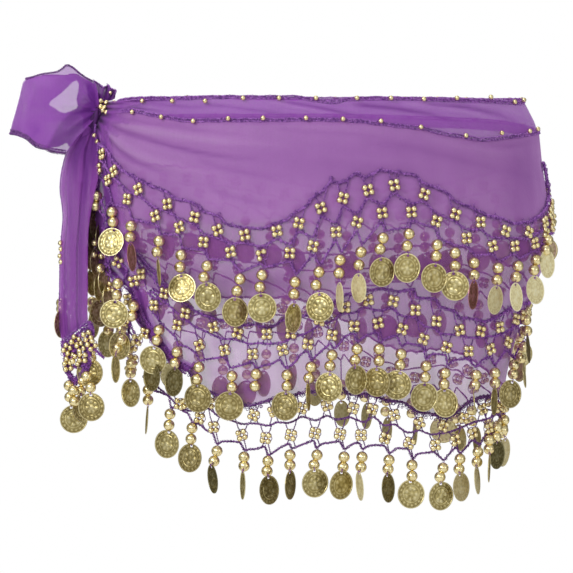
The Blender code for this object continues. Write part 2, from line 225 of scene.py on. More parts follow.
def chiffon(name, pale, mid, deep, cover, uneven=0.05, backed_painted_light=None, dense_cover=0.0):
    """Sheer plain-weave chiffon. UVs are in metres along and across the cloth. The cloth's own attribute for folds and
    painted shade is
    0 where it lies plain, towards 1 where it doubles or bunches and where shade is painted in, and below 0 where it
    stands taut and thin and where light is painted in; its attribute backed is 1 where the lap lies behind it."""
    m, nt, p = nodes_of(name)
    uv = node(nt, "ShaderNodeUVMap")
    uv.uv_map = "cloth"
    sep = node(nt, "ShaderNodeSeparateXYZ")
    link(nt, uv.outputs["UV"], sep.inputs["Vector"])
    threads = []
    for axis in ("X", "Y"):
        w = node(nt, "ShaderNodeMath", operation="MULTIPLY")
        w.inputs[1].default_value = 2 * math.pi / (0.62 * MM)
        link(nt, sep.outputs[axis], w.inputs[0])
        s = node(nt, "ShaderNodeMath", operation="SINE")
        link(nt, w.outputs[0], s.inputs[0])
        threads.append(s.outputs[0])
    weave = node(nt, "ShaderNodeMath", operation="MAXIMUM")
    link(nt, threads[0], weave.inputs[0])
    link(nt, threads[1], weave.inputs[1])
    tc = node(nt, "ShaderNodeTexCoord")
    crinkle = node(nt, "ShaderNodeTexNoise", Scale=420.0, Detail=3.0, Roughness=0.6)
    link(nt, tc.outputs["Object"], crinkle.inputs["Vector"])
    broad = node(nt, "ShaderNodeTexNoise", Scale=22.0, Detail=3.0, Roughness=0.55)
    link(nt, tc.outputs["Object"], broad.inputs["Vector"])
    stretch = node(nt, "ShaderNodeVectorMath", operation="MULTIPLY")
    stretch.inputs[1].default_value = (1.0, 0.045, 1.0)
    link(nt, uv.outputs["UV"], stretch.inputs[0])
    streak = node(nt, "ShaderNodeTexNoise", Scale=560.0, Detail=2.0)
    link(nt, stretch.outputs[0], streak.inputs["Vector"])
    fold_and_shade = node(nt, "ShaderNodeAttribute", attribute_name="fold_and_shade")
    backed = node(nt, "ShaderNodeAttribute", attribute_name="backed")
    # tone: 0.5 plain, 1 deep
    t1 = node(nt, "ShaderNodeMath", operation="MULTIPLY_ADD")
    t1.inputs[1].default_value, t1.inputs[2].default_value = 0.5, 0.5
    link(nt, fold_and_shade.outputs["Fac"], t1.inputs[0])
    t2 = node(nt, "ShaderNodeMapRange")
    t2.inputs["To Min"].default_value, t2.inputs["To Max"].default_value = -0.12, 0.12
    link(nt, broad.outputs["Fac"], t2.inputs["Value"])
    t3 = node(nt, "ShaderNodeMath", operation="ADD", use_clamp=True)
    link(nt, t1.outputs[0], t3.inputs[0])
    link(nt, t2.outputs["Result"], t3.inputs[1])
    tone = ramp(nt, t3.outputs[0], [(0.0, pale), (0.5, mid), (1.0, deep)])
    # Where the cloth is backed its colour is multiplied paler: painted light for the light that comes through the
    # doubled cloth.
    if backed_painted_light is not None:
        mix = node(nt, "ShaderNodeMix", data_type="RGBA", blend_type="MULTIPLY")
        mix.inputs["Factor"].default_value = 1.0
        link(nt, tone, mix.inputs["A"])
        gain = node(nt, "ShaderNodeMix", data_type="RGBA")
        link(nt, backed.outputs["Fac"], gain.inputs["Factor"])
        gain.inputs["A"].default_value = (1, 1, 1, 1)
        gain.inputs["B"].default_value = (*backed_painted_light, 1)
        link(nt, gain.outputs["Result"], mix.inputs["B"])
        tone = mix.outputs["Result"]
    link(nt, tone, p.inputs["Base Color"])
    # cover: how much of the view the threads fill
    total = spread_to(nt, weave.outputs[0], cover - 0.05, cover + 0.05)
    for value, size in ((crinkle.outputs["Fac"], None), (streak.outputs["Fac"], None), (fold_and_shade.outputs["Fac"], 0.28), (backed.outputs["Fac"], dense_cover)):
        part = spread_to(nt, value, -uneven, uneven) if size is None else None
        if part is None:
            scaled = node(nt, "ShaderNodeMath", operation="MULTIPLY")
            scaled.inputs[1].default_value = size
            link(nt, value, scaled.inputs[0])
            part = scaled.outputs[0]
        a = node(nt, "ShaderNodeMath", operation="ADD", use_clamp=True)
        link(nt, total, a.inputs[0])
        link(nt, part, a.inputs[1])
        total = a.outputs[0]
    link(nt, total, p.inputs["Alpha"])
    p.inputs["Roughness"].default_value = 0.62
    p.inputs["Sheen Weight"].default_value = 0.3
    p.inputs["Sheen Roughness"].default_value = 0.4
    p.inputs["Sheen Tint"].default_value = (0.80, 0.62, 0.95, 1)
    p.inputs["Specular IOR Level"].default_value = 0.2
    bump = node(nt, "ShaderNodeBump", Strength=0.35, Distance=0.0006)
    link(nt, crinkle.outputs["Fac"], bump.inputs["Height"])
    link(nt, bump.outputs["Normal"], p.inputs["Normal"])
    return m


def yarn_look(name, dark, light):
    m, nt, p = nodes_of(name)
    tc = node(nt, "ShaderNodeTexCoord")
    n = node(nt, "ShaderNodeTexNoise", Scale=560.0, Detail=2.0)
    link(nt, tc.outputs["Object"], n.inputs["Vector"])
    link(nt, ramp(nt, n.outputs["Fac"], [(0.36, dark), (0.64, light)]), p.inputs["Base Color"])
    link(nt, spread_to(nt, n.outputs["Fac"], 0.55, 0.9), p.inputs["Roughness"])
    p.inputs["Sheen Weight"].default_value = 0.12
    p.inputs["Sheen Tint"].default_value = (0.75, 0.5, 0.95, 1)
    p.inputs["Specular IOR Level"].default_value = 0.25
    bump = node(nt, "ShaderNodeBump", Strength=0.5, Distance=0.0004)
    link(nt, n.outputs["Fac"], bump.inputs["Height"])
    link(nt, bump.outputs["Normal"], p.inputs["Normal"])
    return m


def gilt_look(name, stops, rough_low, rough_high, bump_strength, edge, relief=False, metal=1.0):
    m, nt, p = nodes_of(name)
    tc = node(nt, "ShaderNodeTexCoord")
    n = node(nt, "ShaderNodeTexNoise", Scale=260.0, Detail=4.0, Roughness=0.65)
    link(nt, tc.outputs["Object"], n.inputs["Vector"])
    if relief:
        at = node(nt, "ShaderNodeAttribute", attribute_name="relief")
        mix = node(nt, "ShaderNodeMath", operation="MULTIPLY_ADD")
        mix.inputs[1].default_value = 0.72
        link(nt, at.outputs["Fac"], mix.inputs[0])
        scaled = node(nt, "ShaderNodeMath", operation="MULTIPLY")
        scaled.inputs[1].default_value = 0.42
        link(nt, n.outputs["Fac"], scaled.inputs[0])
        link(nt, scaled.outputs[0], mix.inputs[2])
        fac = mix.outputs[0]
    else:
        fac = n.outputs["Fac"]
    tone = ramp(nt, fac, stops)
    if relief:
        # The per-point shade attribute scales the coin's colour: mauve near 0 is a painted reflection of the violet
        # cloth, the lower levels are painted shade, and near 1 the coin keeps its own colour, with random wear in
        # between.
        wear_and_shade = node(nt, "ShaderNodeAttribute", attribute_name="wear_and_shade")
        shade = ramp(nt, wear_and_shade.outputs["Fac"], [(0.0, (0.56, 0.27, 0.59)), (0.25, (0.26, 0.27, 0.26)), (0.5, (0.60, 0.56, 0.50)), (1.0, (1.0, 1.0, 1.0))])
        mul = node(nt, "ShaderNodeMix", data_type="RGBA", blend_type="MULTIPLY")
        mul.inputs["Factor"].default_value = 1.0
        link(nt, tone, mul.inputs["A"])
        link(nt, shade, mul.inputs["B"])
        tone = mul.outputs["Result"]
    link(nt, tone, p.inputs["Base Color"])
    p.inputs["Metallic"].default_value = metal
    p.inputs["Specular Tint"].default_value = (*edge, 1)
    link(nt, spread_to(nt, n.outputs["Fac"], rough_low, rough_high), p.inputs["Roughness"])
    if bump_strength:
        fine = node(nt, "ShaderNodeTexNoise", Scale=1400.0, Detail=2.0)
        link(nt, tc.outputs["Object"], fine.inputs["Vector"])
        bump = node(nt, "ShaderNodeBump", Strength=bump_strength, Distance=0.0003)
        link(nt, fine.outputs["Fac"], bump.inputs["Height"])
        link(nt, bump.outputs["Normal"], p.inputs["Normal"])
    return m


# The main chiffon: its paler colour where backed is painted light.
CHIFFON = chiffon("chiffon_single", (0.40, 0.15, 0.47), (0.315, 0.091, 0.385), (0.18, 0.040, 0.25), 0.62, backed_painted_light=(1.16, 1.62, 1.16), dense_cover=0.29)
CHIFFON_LAP = chiffon("chiffon_lap", (0.42, 0.12, 0.57), (0.30, 0.072, 0.44), (0.155, 0.03, 0.25), 0.74)
# A copy of the chiffon whose deep end is near black, where the gathered cloth runs into the knot: painted shade.
CHIFFON_NECK_SHADE = chiffon("chiffon_gathered_painted_shade", (0.40, 0.12, 0.54), (0.28, 0.068, 0.41), (0.045, 0.012, 0.07), 0.78)
CHIFFON_BOW = chiffon("chiffon_bow", (0.44, 0.135, 0.62), (0.325, 0.072, 0.49), (0.185, 0.030, 0.33), 0.68)
CHIFFON_RUFFLE = chiffon("chiffon_ruffle", (0.40, 0.12, 0.56), (0.28, 0.062, 0.42), (0.15, 0.028, 0.25), 0.90)
CHIFFON_TAIL = chiffon("chiffon_tail", (0.42, 0.13, 0.55), (0.31, 0.070, 0.43), (0.15, 0.030, 0.24), 0.66)
# A dark copy of the chiffon for the knot: painted shade, with the cloth bunched thick.
CHIFFON_KNOT_SHADE = chiffon("chiffon_knot_painted_shade", (0.22, 0.05, 0.32), (0.12, 0.028, 0.19), (0.05, 0.012, 0.08), 0.98, 0.01)
YARN = yarn_look("crochet_yarn", (0.14, 0.036, 0.25), (0.50, 0.20, 0.66))
YARN_MID = yarn_look("crochet_yarn_mid", (0.12, 0.030, 0.23), (0.42, 0.145, 0.58))
YARN_LOW = yarn_look("crochet_yarn_hem", (0.085, 0.026, 0.15), (0.28, 0.11, 0.37))
BEAD = gilt_look("gilt_bead", [(0.3, (0.92, 0.76, 0.38)), (0.7, (1.0, 0.91, 0.56))], 0.25, 0.31, 0.0, (0.50, 0.36, 0.16))
COIN = gilt_look("gilt_coin", [(0.10, (0.28, 0.225, 0.09)), (0.40, (0.62, 0.535, 0.235)), (0.8, (0.92, 0.85, 0.50))], 0.28, 0.44, 0.3, (0.85, 0.68, 0.40), relief=True, metal=0.78)
# A paler, less metallic copy of the coin finish for coins that catch the light: painted light.
COIN_PAINTED_LIGHT = gilt_look("gilt_coin_painted_light", [(0.10, (0.70, 0.60, 0.32)), (0.40, (0.90, 0.82, 0.47)), (0.8, (0.97, 0.92, 0.62))], 0.34, 0.50, 0.3, (0.9, 0.8, 0.6), relief=True, metal=0.25)

# ---------------------------------------------------------------------------------------------
# mesh making
# ---------------------------------------------------------------------------------------------
class Pile:
    """Points and faces of many small things that end as one mesh."""

    def __init__(self):
        self.v, self.f, self.n, self.extra, self.wear_and_shade = [], [], 0, [], []

    def add(self, v, f, extra=None, wear_and_shade=1.0):
        v = np.asarray(v, float).reshape(-1, 3)
        self.v.append(v)
        for g in f if isinstance(f, list) else [f]:
            self.f.append(np.asarray(g, np.int64) + self.n)
        self.extra.append(np.zeros(len(v)) if extra is None else np.asarray(extra, float))
        self.wear_and_shade.append(np.full(len(v), wear_and_shade))
        self.n += len(v)


def make(name, pile, look, replaces=(), smooth_angle=None, attribute=None, uv=None):
    v = np.concatenate(pile.v)
    groups = pile.f
    loops = np.concatenate([g.reshape(-1) for g in groups])
    sizes = np.concatenate([np.full(len(g), g.shape[1]) for g in groups])
    starts = np.concatenate([[0], np.cumsum(sizes)[:-1]])
    mesh = bpy.data.meshes.new(name)
    mesh.vertices.add(len(v))
    mesh.vertices.foreach_set("co", v.astype(np.float32).reshape(-1))
    mesh.loops.add(len(loops))
    mesh.loops.foreach_set("vertex_index", loops.astype(np.int32))
    mesh.polygons.add(len(sizes))
    mesh.polygons.foreach_set("loop_start", starts.astype(np.int32))
    mesh.update(calc_edges=True)
    mesh.validate()
    if uv is not None:
        layer = mesh.uv_layers.new(name="cloth")
        layer.data.foreach_set("uv", np.asarray(uv, np.float32)[loops].reshape(-1))
    if attribute is not None:
        a = mesh.attributes.new(attribute, "FLOAT", "POINT")
        a.data.foreach_set("value", np.concatenate(pile.extra).astype(np.float32))
        a = mesh.attributes.new("wear_and_shade", "FLOAT", "POINT")
        a.data.foreach_set("value", np.concatenate(pile.wear_and_shade).astype(np.float32))
    mesh.shade_smooth()
    if smooth_angle:
        mesh.set_sharp_from_angle(angle=math.radians(smooth_angle))
    o = bpy.data.objects.new(name, mesh)
    mesh.materials.append(look)
    bpy.context.scene.collection.objects.link(o)
    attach(o, "root")
    if replaces:
        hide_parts(*replaces)
    return o


def grid_faces(n, m):
    i, j = np.meshgrid(np.arange(n - 1), np.arange(m - 1), indexing="ij")
    a = (i * m + j).reshape(-1)
    return np.stack([a, a + m, a + m + 1, a + 1], -1)


def instances(pile, template, places, turns, sizes=None, extra=None):
    """Copies of a template, (points, faces), at places with 3x3 turns."""
    tv, tf = template[0], template[1]
    te = template[2] if len(template) > 2 else None
    for k, (p, r) in enumerate(zip(places, turns)):
        s = 1.0 if sizes is None else sizes[k]
        pile.add(tv * s @ np.asarray(r).T + np.asarray(p), list(tf), te)


def ball(radius, around, rings, hole, tall=1.0):
    """A bead with a hole up its middle: its skin runs into the hole at both ends."""
    low = math.asin(min(0.95, hole / radius))
    tilts = np.concatenate([[low], np.linspace(low + 0.10, math.pi - low - 0.10, rings), [math.pi - low]])
    v, f = [], []
    profile = [(radius * math.sin(t), radius * tall * math.cos(t)) for t in tilts]
    profile = [(hole * 0.9, profile[0][1] - radius * 0.12)] + profile + [(hole * 0.9, profile[-1][1] + radius * 0.12)]
    for r, z in profile:
        for k in range(around):
            a = 2 * math.pi * k / around
            v.append((r * math.cos(a), r * math.sin(a), z))
    n = len(profile)
    faces = []
    for i in range(n - 1):
        for k in range(around):
            l = (k + 1) % around
            faces.append((i * around + k, (i + 1) * around + k, (i + 1) * around + l, i * around + l))
    return np.array(v), [np.array(faces)]


SMALL_BEAD = ball(2.25 * MM, 10, 5, 0.30 * MM, 0.97)
SMALL_BEAD_FAR = ball(2.2 * MM, 8, 4, 0.30 * MM, 0.97)
BIG_BEAD = ball(4.35 * MM, 16, 8, 0.45 * MM, 0.98)
BIG_BEAD_FAR = ball(4.35 * MM, 12, 6, 0.45 * MM, 0.98)
COIN_R = 11.1 * MM


def bump_at(r, a, r0, a0, size):
    """A round bump of this size at polar place r0, a0, in coin radii."""
    dx, dy = r * np.cos(a) - r0 * math.cos(a0), r * np.sin(a) - r0 * math.sin(a0)
    return np.exp(-((dx**2 + dy**2) / size**2))


def stroke(r, a, r0, a1, a2, size):
    """An arc-shaped ridge."""
    mid, half = (a1 + a2) / 2, (a2 - a1) / 2
    off = np.abs((a - mid + math.pi) % (2 * math.pi) - math.pi)
    end = np.clip((off - half) * r0 / size, 0, None)
    return np.exp(-(((r - r0) / size) ** 2 + end**2))


PETALS = 7


def coin_relief(r, a, kind):
    """A plain generic stamping: rim, ring of pips, a thin ring and a seven-petalled flower."""
    h = np.clip((r - 0.90) / 0.04, 0, 1) * 0.9
    for k in range(1, 16):
        t = math.pi / 2 + 2 * math.pi * k / 16
        h = np.maximum(h, bump_at(r, a, 0.785, t, 0.066))
    turn = (0.25, 2.4, 4.4)[kind]
    h = np.maximum(h, 0.55 * np.clip(1 - np.abs(r - 0.60) / 0.045, 0, 1))
    for k in range(PETALS):
        t = turn + 2 * math.pi * k / PETALS
        h = np.maximum(h, (1.0, 0.8, 0.95, 0.7, 0.9, 1.0, 0.75)[k] * bump_at(r, a, 0.37, t, 0.135))
    h = np.maximum(h, 0.75 * bump_at(r, a, 0.0, 0.0, 0.17))
    # hand-struck unevenness
    x, y = r * np.cos(a - turn), r * np.sin(a - turn)
    h = h + 0.30 * np.sin(5.1 * x + 2.0 * kind) * np.sin(6.3 * y + kind) * np.clip((0.8 - r) / 0.2, 0, 1)
    return np.clip(h, 0, 1)


def coin(kind, around, rows, back_rows):
    """A thin stamped disc in the XZ plane that faces -Y, with a hole near its top."""
    hole = (0.76, 0.83, 0.90)
    rows = sorted(set([round(x, 4) for x in rows] + list(hole)))
    back_rows = sorted(set([round(x, 4) for x in back_rows] + list(hole)))
    v, e, faces = [], [], []
    thick, high = 0.22 * MM, 0.55 * MM

    def side(radii, sign):
        start = len(v)
        v.append((0, 0, 0)); e.append(0)
        for r in radii:
            for k in range(around):
                a = 2 * math.pi * k / around
                v.append((r * math.cos(a), 0, r * math.sin(a))); e.append(0)
        for k in range(around):
            l = (k + 1) % around
            faces.append((start, start + 1 + l, start + 1 + k) if sign < 0 else (start, start + 1 + k, start + 1 + l))
        for i in range(len(radii) - 1):
            for k in range(around):
                mid = (k + 0.5) / around
                if hole[0] - 0.001 < radii[i] < hole[2] - 0.001 and abs(mid - 0.25) < 1.01 / around:
                    continue
                l = (k + 1) % around
                a, b = start + 1 + i * around + k, start + 1 + i * around + l
                c, d = start + 1 + (i + 1) * around + l, start + 1 + (i + 1) * around + k
                faces.append((a, b, c, d) if sign < 0 else (d, c, b, a))
        return start

    f0 = side(rows, -1)
    b0 = side(back_rows, 1)
    v_, e_ = np.array(v, float), np.zeros(len(v))
    r = np.hypot(v_[:, 0], v_[:, 2])
    a = np.arctan2(v_[:, 2], v_[:, 0])
    h = coin_relief(r, a, kind)
    dome = 0.35 * MM * (1 - r**2)
    front = np.arange(len(v_)) < b0
    y = np.where(front, -(h * high) - dome, thick - (h * high * 0.8) - dome + high * 0.25)
    e_ = np.where(front, h, 1 - 0.8 * h)
    v_ = np.stack([v_[:, 0] * COIN_R, y, v_[:, 2] * COIN_R], -1)
    # rim and the hole's wall
    fr, br = f0 + 1 + (len(rows) - 1) * around, b0 + 1 + (len(back_rows) - 1) * around
    for k in range(around):
        l = (k + 1) % around
        faces.append((fr + k, fr + l, br + l, br + k))
    q = around // 4
    at_f = lambda i, k: f0 + 1 + rows.index(hole[i]) * around + k
    at_b = lambda i, k: b0 + 1 + back_rows.index(hole[i]) * around + k
    loop = [(0, q - 1), (0, q), (0, q + 1), (1, q + 1), (2, q + 1), (2, q), (2, q - 1), (1, q - 1)]
    for (i, k), (i2, k2) in zip(loop, loop[1:] + loop[:1]):
        faces.append((at_f(i, k), at_f(i2, k2), at_b(i2, k2), at_b(i, k)))
    tris = np.array([x for x in faces if len(x) == 3])
    quads = np.array([x for x in faces if len(x) == 4])
    return v_, [tris, quads], e_


NEAR_ROWS = (0.08, 0.16, 0.24, 0.32, 0.40, 0.48, 0.54, 0.60, 0.66, 0.71, 0.94, 1.0)
COINS = [coin(k, 48, NEAR_ROWS, (0.3, 0.6, 0.94, 1.0)) for k in range(3)]
COINS_FAR = [coin(k, 32, (0.14, 0.28, 0.40, 0.52, 0.60, 0.68, 0.95, 1.0), (0.2, 0.42, 0.61, 0.95, 1.0)) for k in range(3)]


def resample(points, step):
    points = np.asarray(points, float)
    along = np.concatenate([[0], np.cumsum(np.linalg.norm(np.diff(points, axis=0), axis=1))])
    n = max(3, int(along[-1] / step) + 1)
    at = np.linspace(0, along[-1], n)
    return np.stack([np.interp(at, along, points[:, k]) for k in range(3)], -1), at


def softened(p, width):
    if len(p) < 5 or width < 1:
        return p
    q = np.concatenate([np.repeat(p[:1], width, 0), p, np.repeat(p[-1:], width, 0)])
    kernel = np.ones(2 * width + 1) / (2 * width + 1)
    return np.stack([np.convolve(q[:, k], kernel, "valid") for k in range(3)], -1)


def yarn(pile, points, thick=0.46 * MM, spin=0.62 * MM, pitch=3.1 * MM, strands=2, sides=5, step=0.62 * MM, soft=2, fuzz=0.10 * MM):
    """A twisted crochet cord along a line."""
    p, at = resample(points, step)
    p = softened(p, soft)
    if len(p) < 3:
        return
    t = np.gradient(p, axis=0)
    t /= np.maximum(np.linalg.norm(t, axis=1), 1e-12)[:, None]
    out = np.stack([p[:, 0], 2.4 * p[:, 1], 0 * p[:, 2] + 1e-4], -1)
    b = np.cross(t, out)
    b /= np.maximum(np.linalg.norm(b, axis=1), 1e-9)[:, None]
    n = np.cross(b, t)
    start = rng.random() * 6.28
    for k in range(strands):
        w = 2 * math.pi * at / pitch + 2 * math.pi * k / strands + start
        r = spin + fuzz * rng.standard_normal(len(p))
        c = p + (np.cos(w) * r)[:, None] * n + (np.sin(w) * r)[:, None] * b
        ring = []
        for j in range(sides):
            a = 2 * math.pi * j / sides
            ring.append(c + thick * (math.cos(a) * n + math.sin(a) * b))
        v = np.stack(ring, 1).reshape(-1, 3)
        i, j = np.meshgrid(np.arange(len(p) - 1), np.arange(sides), indexing="ij")
        l = (j + 1) % sides
        f = np.stack([i * sides + j, i * sides + l, (i + 1) * sides + l, (i + 1) * sides + j], -1).reshape(-1, 4)
        pile.add(v, f)


def thread(pile, a, b, thick=0.28 * MM, sides=4, sag=0.0):
    a, b = np.asarray(a, float), np.asarray(b, float)
    t = np.linspace(0, 1, 5)[:, None]
    p = a + (b - a) * t
    p[:, 2] -= sag * 4 * (t * (1 - t))[:, 0]
    yarn(pile, p, thick=thick, spin=thick * 0.8, pitch=1.7 * MM, sides=sides, step=max(0.5 * MM, np.linalg.norm(b - a) / 10), soft=0, fuzz=0)


def picots(pile, points, every=4.6 * MM, size=1.25 * MM, stray=1.0, facing=None):
    """Small crochet loops that stand off a line."""
    p, at = resample(points, every)
    for k in range(1, len(p) - 1):
        c = p[k] + stray * rng.standard_normal(3) * (0.5 * MM, 0.2 * MM, 0.9 * MM)
        r = size * (0.75 + 0.5 * rng.random())
        tilt = rng.random() * 3.14
        w = np.linspace(0, 2 * math.pi, 10)
        n = np.array([c[0], 2.4 * c[1], 0]) if facing is None else np.array(facing, float)
        n /= np.linalg.norm(n)
        s = np.array([-n[1], n[0], 0])
        u = s * math.cos(tilt) + np.array([0, 0, 1]) * math.sin(tilt)
        v = np.cross(n, u)
        loop = c + r * (np.cos(w)[:, None] * u + 0.7 * np.sin(w)[:, None] * v) + 0.6 * MM * n
        yarn(pile, loop, thick=0.30 * MM, spin=0.0, strands=1, sides=3, step=1.0 * MM, soft=0, fuzz=0)


# ---------------------------------------------------------------------------------------------
# cloth
# ---------------------------------------------------------------------------------------------
def grid_of(points):
    """Where points show on the elevation grid."""
    k = GRID * (EYE_FAR + points[..., 1]) / EYE_FAR
    return np.stack([GRID_MID + (points[..., 0] - EYE_X) / k, GRID_MID - (points[..., 2] - EYE_Z) / k], -1)


def to_line(p, line):
    """Distance from points to a polyline, and how far along it the nearest place is, from 0 to 1."""
    line = np.asarray(line, float)
    best, where = np.full(p.shape[:-1], 1e9), np.zeros(p.shape[:-1])
    total = np.linalg.norm(np.diff(line, axis=0), axis=1)
    before, whole = 0.0, total.sum()
    for a, b, l in zip(line[:-1], line[1:], total):
        t = np.clip(((p - a) @ (b - a)) / (l * l), 0, 1)
        d = np.linalg.norm(p - (a + t[..., None] * (b - a)), axis=-1)
        near = d < best
        best = np.where(near, d, best)
        where = np.where(near, (before + t * l) / whole, where)
        before += l
    return best, where


def creases(p, lines):
    """Depth in mm and fold-and-shade share of listed creases: (points, height, width, fold); each fades in over the
    first 12 per cent of its line and out over the last 45 per cent.
    """
    # A positive fold share darkens a crease's trough and a negative one lightens its ridge: painted shade and painted
    # highlight, with denser doubled cloth in the troughs.
    deep, fold_and_shade = np.zeros(p.shape[:-1]), np.zeros(p.shape[:-1])
    for line, height, width, dark in lines:
        d, t = to_line(p, line)
        fade = np.clip(t / 0.12, 0, 1) * np.clip((1 - t) / 0.45, 0, 1) ** 0.7
        g = np.exp(-((d / width) ** 2)) * fade
        deep += height * g
        fold_and_shade += dark * g
    return deep, fold_and_shade


def sheet_mesh(name, pts, uv, fold_and_shade, backed, look, replaces=()):
    n, m = pts.shape[:2]
    pile = Pile()
    pile.add(pts.reshape(-1, 3), grid_faces(n, m))
    o = make(name, pile, look, replaces=replaces, uv=uv.reshape(-1, 2))
    for key, val in (("fold_and_shade", fold_and_shade), ("backed", backed)):
        a = o.data.attributes.new(key, "FLOAT", "POINT")
        a.data.foreach_set("value", np.asarray(val, np.float32).reshape(-1))
    return o


# creases of the front, on the elevation grid: line, height in mm, width in squares, fold; the fold share puts painted
# shade in the troughs and painted highlight on the ridges
FRONT_CREASES = [
    ([(101, 119), (112, 127), (126, 133), (146, 139), (166, 145), (195, 152), (225, 157), (262, 160)], -1.3, 2.6, 0.55),
    ([(104, 117), (122, 124), (150, 131), (180, 136), (215, 141), (260, 144), (300, 146)], 1.0, 3.4, -0.25),
    ([(103, 115), (125, 119), (150, 123), (175, 127), (205, 131), (245, 134)], -0.9, 2.2, 0.35),
    ([(100, 122), (110, 135), (124, 147), (140, 156), (160, 163), (190, 171), (222, 177)], 1.0, 4.0, -0.2),
    ([(100, 124), (108, 139), (119, 151), (134, 161), (152, 169), (170, 175)], -1.2, 2.6, 0.5),
    ([(98, 124), (103, 136), (108, 147), (116, 158)], 0.8, 2.2, -0.2),
    ([(98, 126), (101, 138), (105, 150), (109, 160)], -0.8, 1.8, 0.6),
    ([(190, 158), (225, 169), (262, 176), (300, 178)], -0.6, 3.6, 0.18),
    ([(205, 186), (230, 197), (262, 204), (290, 206)], -0.6, 3.2, 0.20),
    ([(270, 128), (310, 132), (352, 134), (400, 140)], -0.5, 2.6, 0.16),
    ([(300, 152), (350, 158), (400, 160), (450, 170)], 0.6, 5.0, -0.10),
    ([(360, 142), (410, 147), (455, 158), (505, 172), (540, 180)], -0.6, 4.2, 0.16),
    ([(420, 136), (455, 145), (500, 153), (541, 156)], 0.6, 3.6, -0.12),
    ([(540, 140), (510, 146), (480, 146)], -0.5, 2.4, 0.2),
    ([(150, 222), (156, 246), (160, 268)], 0.7, 4.0, -0.12),
    ([(205, 262), (214, 290), (220, 312)], -0.7, 3.4, 0.18),
    ([(252, 262), (258, 292), (262, 318)], 0.6, 4.4, -0.12),
    ([(300, 262), (297, 286), (296, 305)], -0.7, 3.6, 0.18),
    ([(350, 246), (346, 268), (343, 292)], 0.6, 3.6, -0.1),
    ([(392, 236), (394, 258), (398, 284)], -0.7, 3.4, 0.18),
    ([(436, 222), (438, 246), (441, 280), (444, 298)], 0.8, 3.0, -0.2),
    ([(427, 220), (428, 250), (430, 286)], -0.7, 2.6, 0.22),
    ([(478, 252), (476, 280), (474, 310)], -0.6, 3.6, 0.16),
    ([(512, 260), (506, 290), (500, 312)], 0.6, 3.2, -0.12),
    ([(520, 240), (517, 270), (510, 300)], -0.6, 3.0, 0.2),
    ([(196, 330), (206, 352), (214, 380)], -0.8, 3.4, 0.2),
    ([(236, 346), (240, 372), (244, 396)], 0.8, 4.0, -0.14),
    ([(278, 346), (281, 370), (284, 394)], -0.8, 3.6, 0.2),
    ([(322, 340), (324, 362), (325, 384)], 0.7, 4.0, -0.14),
    ([(356, 336), (358, 360), (358, 388)], -0.7, 3.4, 0.2),
    ([(398, 334), (400, 362), (402, 398)], 0.8, 3.8, -0.14),
    ([(432, 346), (433, 376), (434, 408)], -0.8, 3.4, 0.2),
    ([(470, 352), (467, 376), (464, 398)], 0.7, 3.2, -0.14),
    ([(160, 300), (174, 330), (188, 358)], -0.8, 3.0, 0.2),
]
# creases of the lap, in the same columns: painted shade in the troughs and painted highlight on the ridges
LAP_CREASES = [
    ([(108, 106), (124, 101.5), (150, 100.5), (185, 101)], -0.6, 1.1, 0.7),
    ([(108, 108), (126, 105), (150, 104.5), (178, 106)], 0.5, 1.1, -0.3),
    ([(108, 110), (122, 108), (142, 108.5), (165, 112)], -0.6, 1.1, 0.6),
    ([(116, 106), (150, 104), (190, 107), (230, 106)], -0.6, 1.8, 0.5),
    ([(196, 103), (230, 107), (268, 112), (300, 116)], -0.5, 1.8, 0.45),
    ([(268, 102), (295, 107), (338, 115)], 0.7, 1.8, -0.25),
    ([(280, 101), (312, 106), (345, 113), (372, 118)], -0.7, 1.8, 0.6),
    ([(350, 104), (392, 108), (430, 114), (462, 124)], -0.7, 2.2, 0.7),
    ([(400, 103), (440, 107), (478, 114), (510, 128)], 0.8, 2.4, -0.4),
    ([(420, 104), (462, 107), (498, 114), (524, 126)], -0.7, 2.0, 0.6),
    ([(470, 104), (500, 108), (530, 118)], 0.6, 2.0, -0.2),
    ([(110, 109), (135, 107), (165, 109)], 0.5, 1.8, -0.2),
]


# Tone spots on the front panel below row 226, as x, y, two sizes and strength: painted shade, among it the nets'
# painted shadows, and painted light, with some doubled cloth.
SHADE_AND_LIGHT_SPOTS = [(470, 276, 16, 10, 0.4), (350, 300, 22, 16, -0.2), (222, 372, 9, 8, 0.3), (232, 392, 12, 9, 0.7), (222, 300, 10, 9, 0.5), (318, 366, 12, 9, 0.3), (518, 310, 7, 80, 0.6), (140, 262, 16, 14, 0.3), (158, 300, 20, 14, 0.25), (300, 280, 220, 50, -0.10), (366, 285, 95, 34, -0.18), (272, 284, 36, 14, 0.8), (446, 258, 14, 12, -0.5), (252, 388, 14, 9, 0.7), (414, 256, 16, 10, -0.3), (193, 272, 8, 9, 0.7), (160, 322, 9, 10, 0.5), (222, 282, 9, 10, 0.35), (505, 245, 26, 14, 0.3), (150, 284, 9, 8, 0.6), (190, 322, 9, 9, 0.4), (330, 258, 180, 10, -0.18), (350, 258, 14, 10, -0.45), (446, 256, 12, 10, -0.5), (286, 256, 14, 9, -0.25), (190, 366, 8, 8, 0.5), (222, 344, 10, 8, 0.4), (190, 344, 8, 7, 0.4), (416, 322, 14, 9, -0.5), (350, 366, 12, 8, -0.3), (350, 300, 9, 8, 0.6), (254, 366, 10, 8, 0.3)]
# Tone spots over the whole front panel: painted shade over the upper middle and right and in a band down the right
# side, and painted light at the right rim.
UPPER_SHADE_AND_LIGHT_SPOTS = [(420, 160, 150, 34, 0.25), (526, 178, 20, 44, 0.40), (300, 160, 110, 26, 0.17), (546, 157, 6, 16, -0.55)]


def spots(v2, places):
    f = np.zeros(len(v2))
    for x, y, rx, ry, size in places:
        f += size * np.exp(-(((v2[:, 0] - x) / rx) ** 2 + ((v2[:, 1] - y) / ry) ** 2))
    return f


